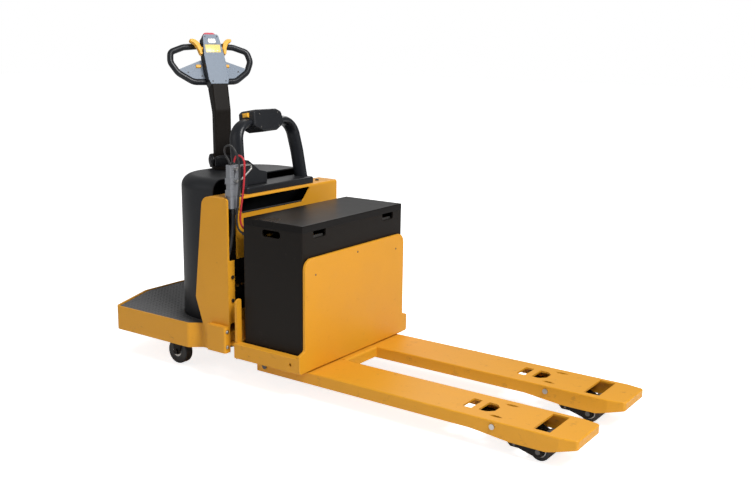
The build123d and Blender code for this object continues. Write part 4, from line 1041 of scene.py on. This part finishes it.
@dataclass(frozen=True)
class Route:
    """One lead's route in metres, with x counted from the backrest's face."""

    name: str
    node: str
    sleeve: Sleeve
    diameter: float
    length: float
    points: tuple[tuple[float, float, float], ...]

    def spline(self) -> Piece:
        """Draw the route as one smooth curve."""
        curve = bpy.data.curves.new(self.name + "_line", "CURVE")
        curve.dimensions = "3D"
        curve.resolution_u = 12
        line = curve.splines.new("NURBS")
        line.points.add(len(self.points) - 1)
        for point, (x, y, z) in zip(line.points, self.points):
            point.co = (x + HEEL_SHIFT * MM, y, z, 1.0)
        line.order_u = 3
        line.use_endpoint_u = True
        drawn = bpy.data.objects.new(self.name + "_line", curve)
        bpy.context.scene.collection.objects.link(drawn)
        return drawn

    def tube(self) -> tuple[Piece, list[tuple[float, float, float]]]:
        """Make the lead's mesh tube.

        Returns:
            The tube and the points its middle follows.
        """
        drawn = self.spline()
        bpy.context.view_layer.update()
        bare = bpy.data.meshes.new_from_object(drawn)
        path = [tuple(v.co) for v in bare.vertices]
        bpy.data.meshes.remove(bare)
        drawn.data.bevel_depth = self.diameter / 2
        drawn.data.bevel_resolution = 5
        drawn.data.use_fill_caps = True
        bpy.context.view_layer.update()
        mesh = bpy.data.meshes.new_from_object(drawn)
        mesh.name = self.name
        bpy.data.objects.remove(drawn)
        tube = bpy.data.objects.new(self.name, mesh)
        bpy.context.scene.collection.objects.link(tube)
        Bench.clear()
        bpy.context.view_layer.objects.active = tube
        tube.select_set(True)
        bpy.ops.object.mode_set(mode="EDIT")
        bpy.ops.mesh.select_all(action="SELECT")
        bpy.ops.mesh.remove_doubles(threshold=0.00002)
        bpy.ops.mesh.normals_make_consistent(inside=False)
        bpy.ops.object.mode_set(mode="OBJECT")
        bpy.ops.object.shade_smooth_by_angle(angle=math.radians(40))
        return tube, path


RED_ROUTE = Route(
    "red_lead", "battery_lead_red", Sleeve.RED, 0.009, 0.448,
    ((-0.338, -0.336, 0.704), (-0.373, -0.336, 0.704), (-0.394, -0.337, 0.738), (-0.386, -0.338, 0.794),
     (-0.375, -0.338, 0.850), (-0.367, -0.337, 0.904), (-0.363, -0.336, 0.958), (-0.362, -0.336, 1.012),
     (-0.3935, -0.336, 1.030), (-0.425, -0.336, 1.012), (-0.425, -0.336, 0.974)))
BLACK_ROUTE = Route(
    "black_lead", "battery_lead_black", Sleeve.BLACK, 0.009, 0.583,
    ((-0.338, -0.358, 0.692), (-0.374, -0.358, 0.692), (-0.394, -0.358, 0.730), (-0.390, -0.358, 0.784),
     (-0.382, -0.357, 0.840), (-0.373, -0.359, 0.896), (-0.366, -0.362, 0.950), (-0.364, -0.368, 1.004),
     (-0.372, -0.380, 1.055), (-0.407, -0.380, 1.077), (-0.445, -0.373, 1.061), (-0.452, -0.360, 1.024),
     (-0.425, -0.358, 0.996), (-0.425, -0.358, 0.966)))
CABLE_ROUTE = Route(
    "main_cable", "truck_cable", Sleeve.BLACK, 0.018, 0.509,
    ((-0.425, -0.347, 0.806), (-0.425, -0.347, 0.752), (-0.423, -0.354, 0.695), (-0.427, -0.361, 0.640),
     (-0.438, -0.365, 0.590), (-0.448, -0.366, 0.540), (-0.454, -0.365, 0.490), (-0.455, -0.363, 0.440),
     (-0.454, -0.361, 0.393), (-0.456, -0.362, 0.346), (-0.456, -0.363, 0.3005)))


@dataclass
class BatteryLeads(Assembly):
    """Battery connector with its handle, and the leads on both sides of it."""

    blend_low: float = 745.0
    blend_high: float = 950.0
    plug: tuple[float, float] = (-425.0, -347.0)
    lead_out: float = 11.0

    def build(self) -> None:
        """Lay the leads, paint the connector and add its sleeves and grip ribs."""
        self.paint(Palette.plug_grey, "connector")
        self.paint(Palette.steel, "plug_handle")
        for route in (RED_ROUTE, BLACK_ROUTE):
            self.lay(route, None)
        self.lay(CABLE_ROUTE, "tractor")
        self.sleeves()
        self.plug_ribs()

    def lay(self, route: Route, body: str | None) -> None:
        """Lay one lead along its route.

        Args:
            route: The lead's route and sleeve.
            body: The body it rides on, or None for a lead that runs from the battery to the tractor, which is
                left on no body.
        """
        tube, path = route.tube()
        finish = Palette.red_lead if route.sleeve is Sleeve.RED else Palette.black_lead
        self.bench.dress(tube, finish, route.sleeve.value, body)
        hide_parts(route.node)
        if body is None:
            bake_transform(tube)

    def _sleeve(self, name: str, foot: float, tip: float, height: float) -> Piece:
        """Model a tapered, ribbed strain relief that stands on the origin, its sizes in millimetres."""
        sleeve = self.bench.drum(name, foot * MM, height * 0.25 * MM, 28)
        for part in range(3):
            self.bench.draw_up(sleeve, height * 0.08 * MM, 0.9, 0.9)
            scale = (foot + (tip - foot) * (part + 1) / 3) / (foot + (tip - foot) * part / 3) / 0.9
            self.bench.draw_up(sleeve, height * 0.17 * MM, scale, scale)
        self.bench.soften(sleeve, foot * 0.05 * MM, 2, 20.0)
        return sleeve

    def sleeves(self) -> None:
        """Add the grommets in the battery case, the plug's short boots and the cable's long one."""
        x, y = self.plug
        case = [facing(station(-342.6, y + self.lead_out, 704), -AHEAD),
                facing(station(-342.6, y - self.lead_out, 692), -AHEAD)]
        tops = [placed(x, y + way * self.lead_out, 984.8) for way in (1, -1)]
        under = [facing(station(x, y, 795.4), Vector((0, 0, -1)))]
        for name, foot, tip, height, places, body in (
            ("lead_grommets", 9.5, 6.2, 16, case, "lift_frame"),
            ("plug_boots", 8.2, 5.6, 12, tops, "tractor"),
            ("cable_relief", 14, 10.2, 34, under, "tractor"),
        ):
            sleeve = self._sleeve("sleeve_start", foot, tip, height)
            self.bench.set_out(sleeve, places, name, Palette.black_lead, "lead_black", body)

    def plug_ribs(self) -> None:
        """Add raised finger ribs on the connector's faces."""
        rib = self.bench.block("rib_start", mm(-20, -1.1, 0), mm(20, 1.1, 1.2))
        self.bench.step(rib, 0.5 * MM, 0.3 * MM)
        self.bench.soften(rib, 0.3 * MM)
        turn = Matrix.Rotation(math.pi / 2, 4, "Z")
        rows = [foot + 6 * i for foot in (936, 808) for i in range(3)]
        places = [facing(station(-411.1, self.plug[1], z), AHEAD) @ turn for z in rows]
        self.bench.set_out(rib, places, "plug_ribs", Palette.plug_grey, "grey_plastic", "tractor")


# ---------------------------------------------------------------- studio


@dataclass
class Studio:
    """Camera, pale floor and soft light."""

    effects: Effects
    eye: Vector = field(default_factory=lambda: Vector((2.4707, -3.3891, 1.5293)))
    right: Vector = field(default_factory=lambda: Vector((0.8204, 0.5716, 0.0131)))
    up: Vector = field(default_factory=lambda: Vector((-0.1288, 0.1624, 0.9783)))
    forward: Vector = field(default_factory=lambda: Vector((-0.557, 0.8043, -0.2068)))
    lens: float = 45.9
    ambient: float = 0.24
    floor_glow: float = 0.82

    def camera(self) -> None:
        """Create the camera and make it the scene's."""
        data = bpy.data.cameras.new("studio_camera")
        data.lens = self.lens
        data.sensor_width = 36.0
        data.clip_end = 100.0
        camera = bpy.data.objects.new("studio_camera", data)
        turn = Matrix((self.right, self.up, -self.forward)).transposed().to_4x4()
        camera.matrix_world = Matrix.Translation(self.eye) @ turn
        bpy.context.scene.collection.objects.link(camera)
        bpy.context.scene.camera = camera

    def floor(self) -> None:
        """Lay the pale floor."""
        Bench.clear()
        bpy.ops.mesh.primitive_plane_add(size=60.0, location=(0, 0, -0.0005))
        floor = bpy.context.object
        floor.name = "studio_floor"
        bpy.ops.object.transform_apply(location=True, rotation=True, scale=True)
        material = Palette.floor.make(self.effects)
        tree = material.node_tree
        shader = tree.nodes["Principled BSDF"]
        ray = add(tree, "LightPath").outputs["Is Camera Ray"]
        feed(tree, shader.inputs["Emission Strength"], reckon(tree, "MULTIPLY", ray, self.floor_glow))
        feed(tree, shader.inputs["Emission Color"], WHITE)
        floor.data.materials.append(material)

    def lights(self) -> None:
        """Hang the soft lights and set the even surround."""
        self.surround()
        for name, at, aim, size, power in (
            ("key_light", Vector((3.9, -1.4, 5.4)), Vector((0.1, 0, 0.5)), 2.4, 430.0),
            ("fill_light", Vector((-3.6, -4.2, 2.6)), Vector((-0.5, 0, 0.6)), 3.0, 22.0),
            ("rear_light", Vector((-2.6, 3.6, 4.2)), Vector((-0.4, 0, 0.5)), 2.6, 80.0),
        ):
            data = bpy.data.lights.new(name, "AREA")
            data.size = size
            data.energy = power
            lamp = bpy.data.objects.new(name, data)
            lamp.matrix_world = facing(at, at - aim)
            bpy.context.scene.collection.objects.link(lamp)

    def surround(self) -> None:
        """Set an even surround that is white behind the truck and softer as light."""
        world = bpy.data.worlds.new("studio_surround")
        world.use_nodes = True
        tree = world.node_tree
        soft = tree.nodes["Background"]
        feed(tree, soft.inputs["Color"], WHITE)
        feed(tree, soft.inputs["Strength"], self.ambient)
        white = add(tree, "Background", Color=WHITE)
        mix = add(tree, "MixShader", Fac=add(tree, "LightPath").outputs["Is Camera Ray"])
        feed(tree, mix.inputs[1], soft.outputs["Background"])
        feed(tree, mix.inputs[2], white.outputs["Background"])
        feed(tree, tree.nodes["World Output"].inputs["Surface"], mix.outputs["Shader"])
        bpy.context.scene.world = world
        bpy.context.scene.view_settings.view_transform = "Standard"

    def build(self) -> None:
        """Set up the studio."""
        self.camera()
        self.floor()
        self.lights()


def main() -> None:
    """Build every sub-assembly in order."""
    logging.basicConfig(level=logging.INFO, format="%(message)s")
    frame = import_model()
    effects = Effects()
    bench = Bench(effects)
    Studio(effects).build()
    BatteryLeads(bench, frame).build()
    for assembly in (ForkGear, LoadRest, BatteryBox, TractorBody, Platform, MotorCover, GrabBar, Tiller):
        assembly(bench, frame).build()
        LOG.info("%s done", assembly.__name__)


if __name__ == "__main__":
    main()
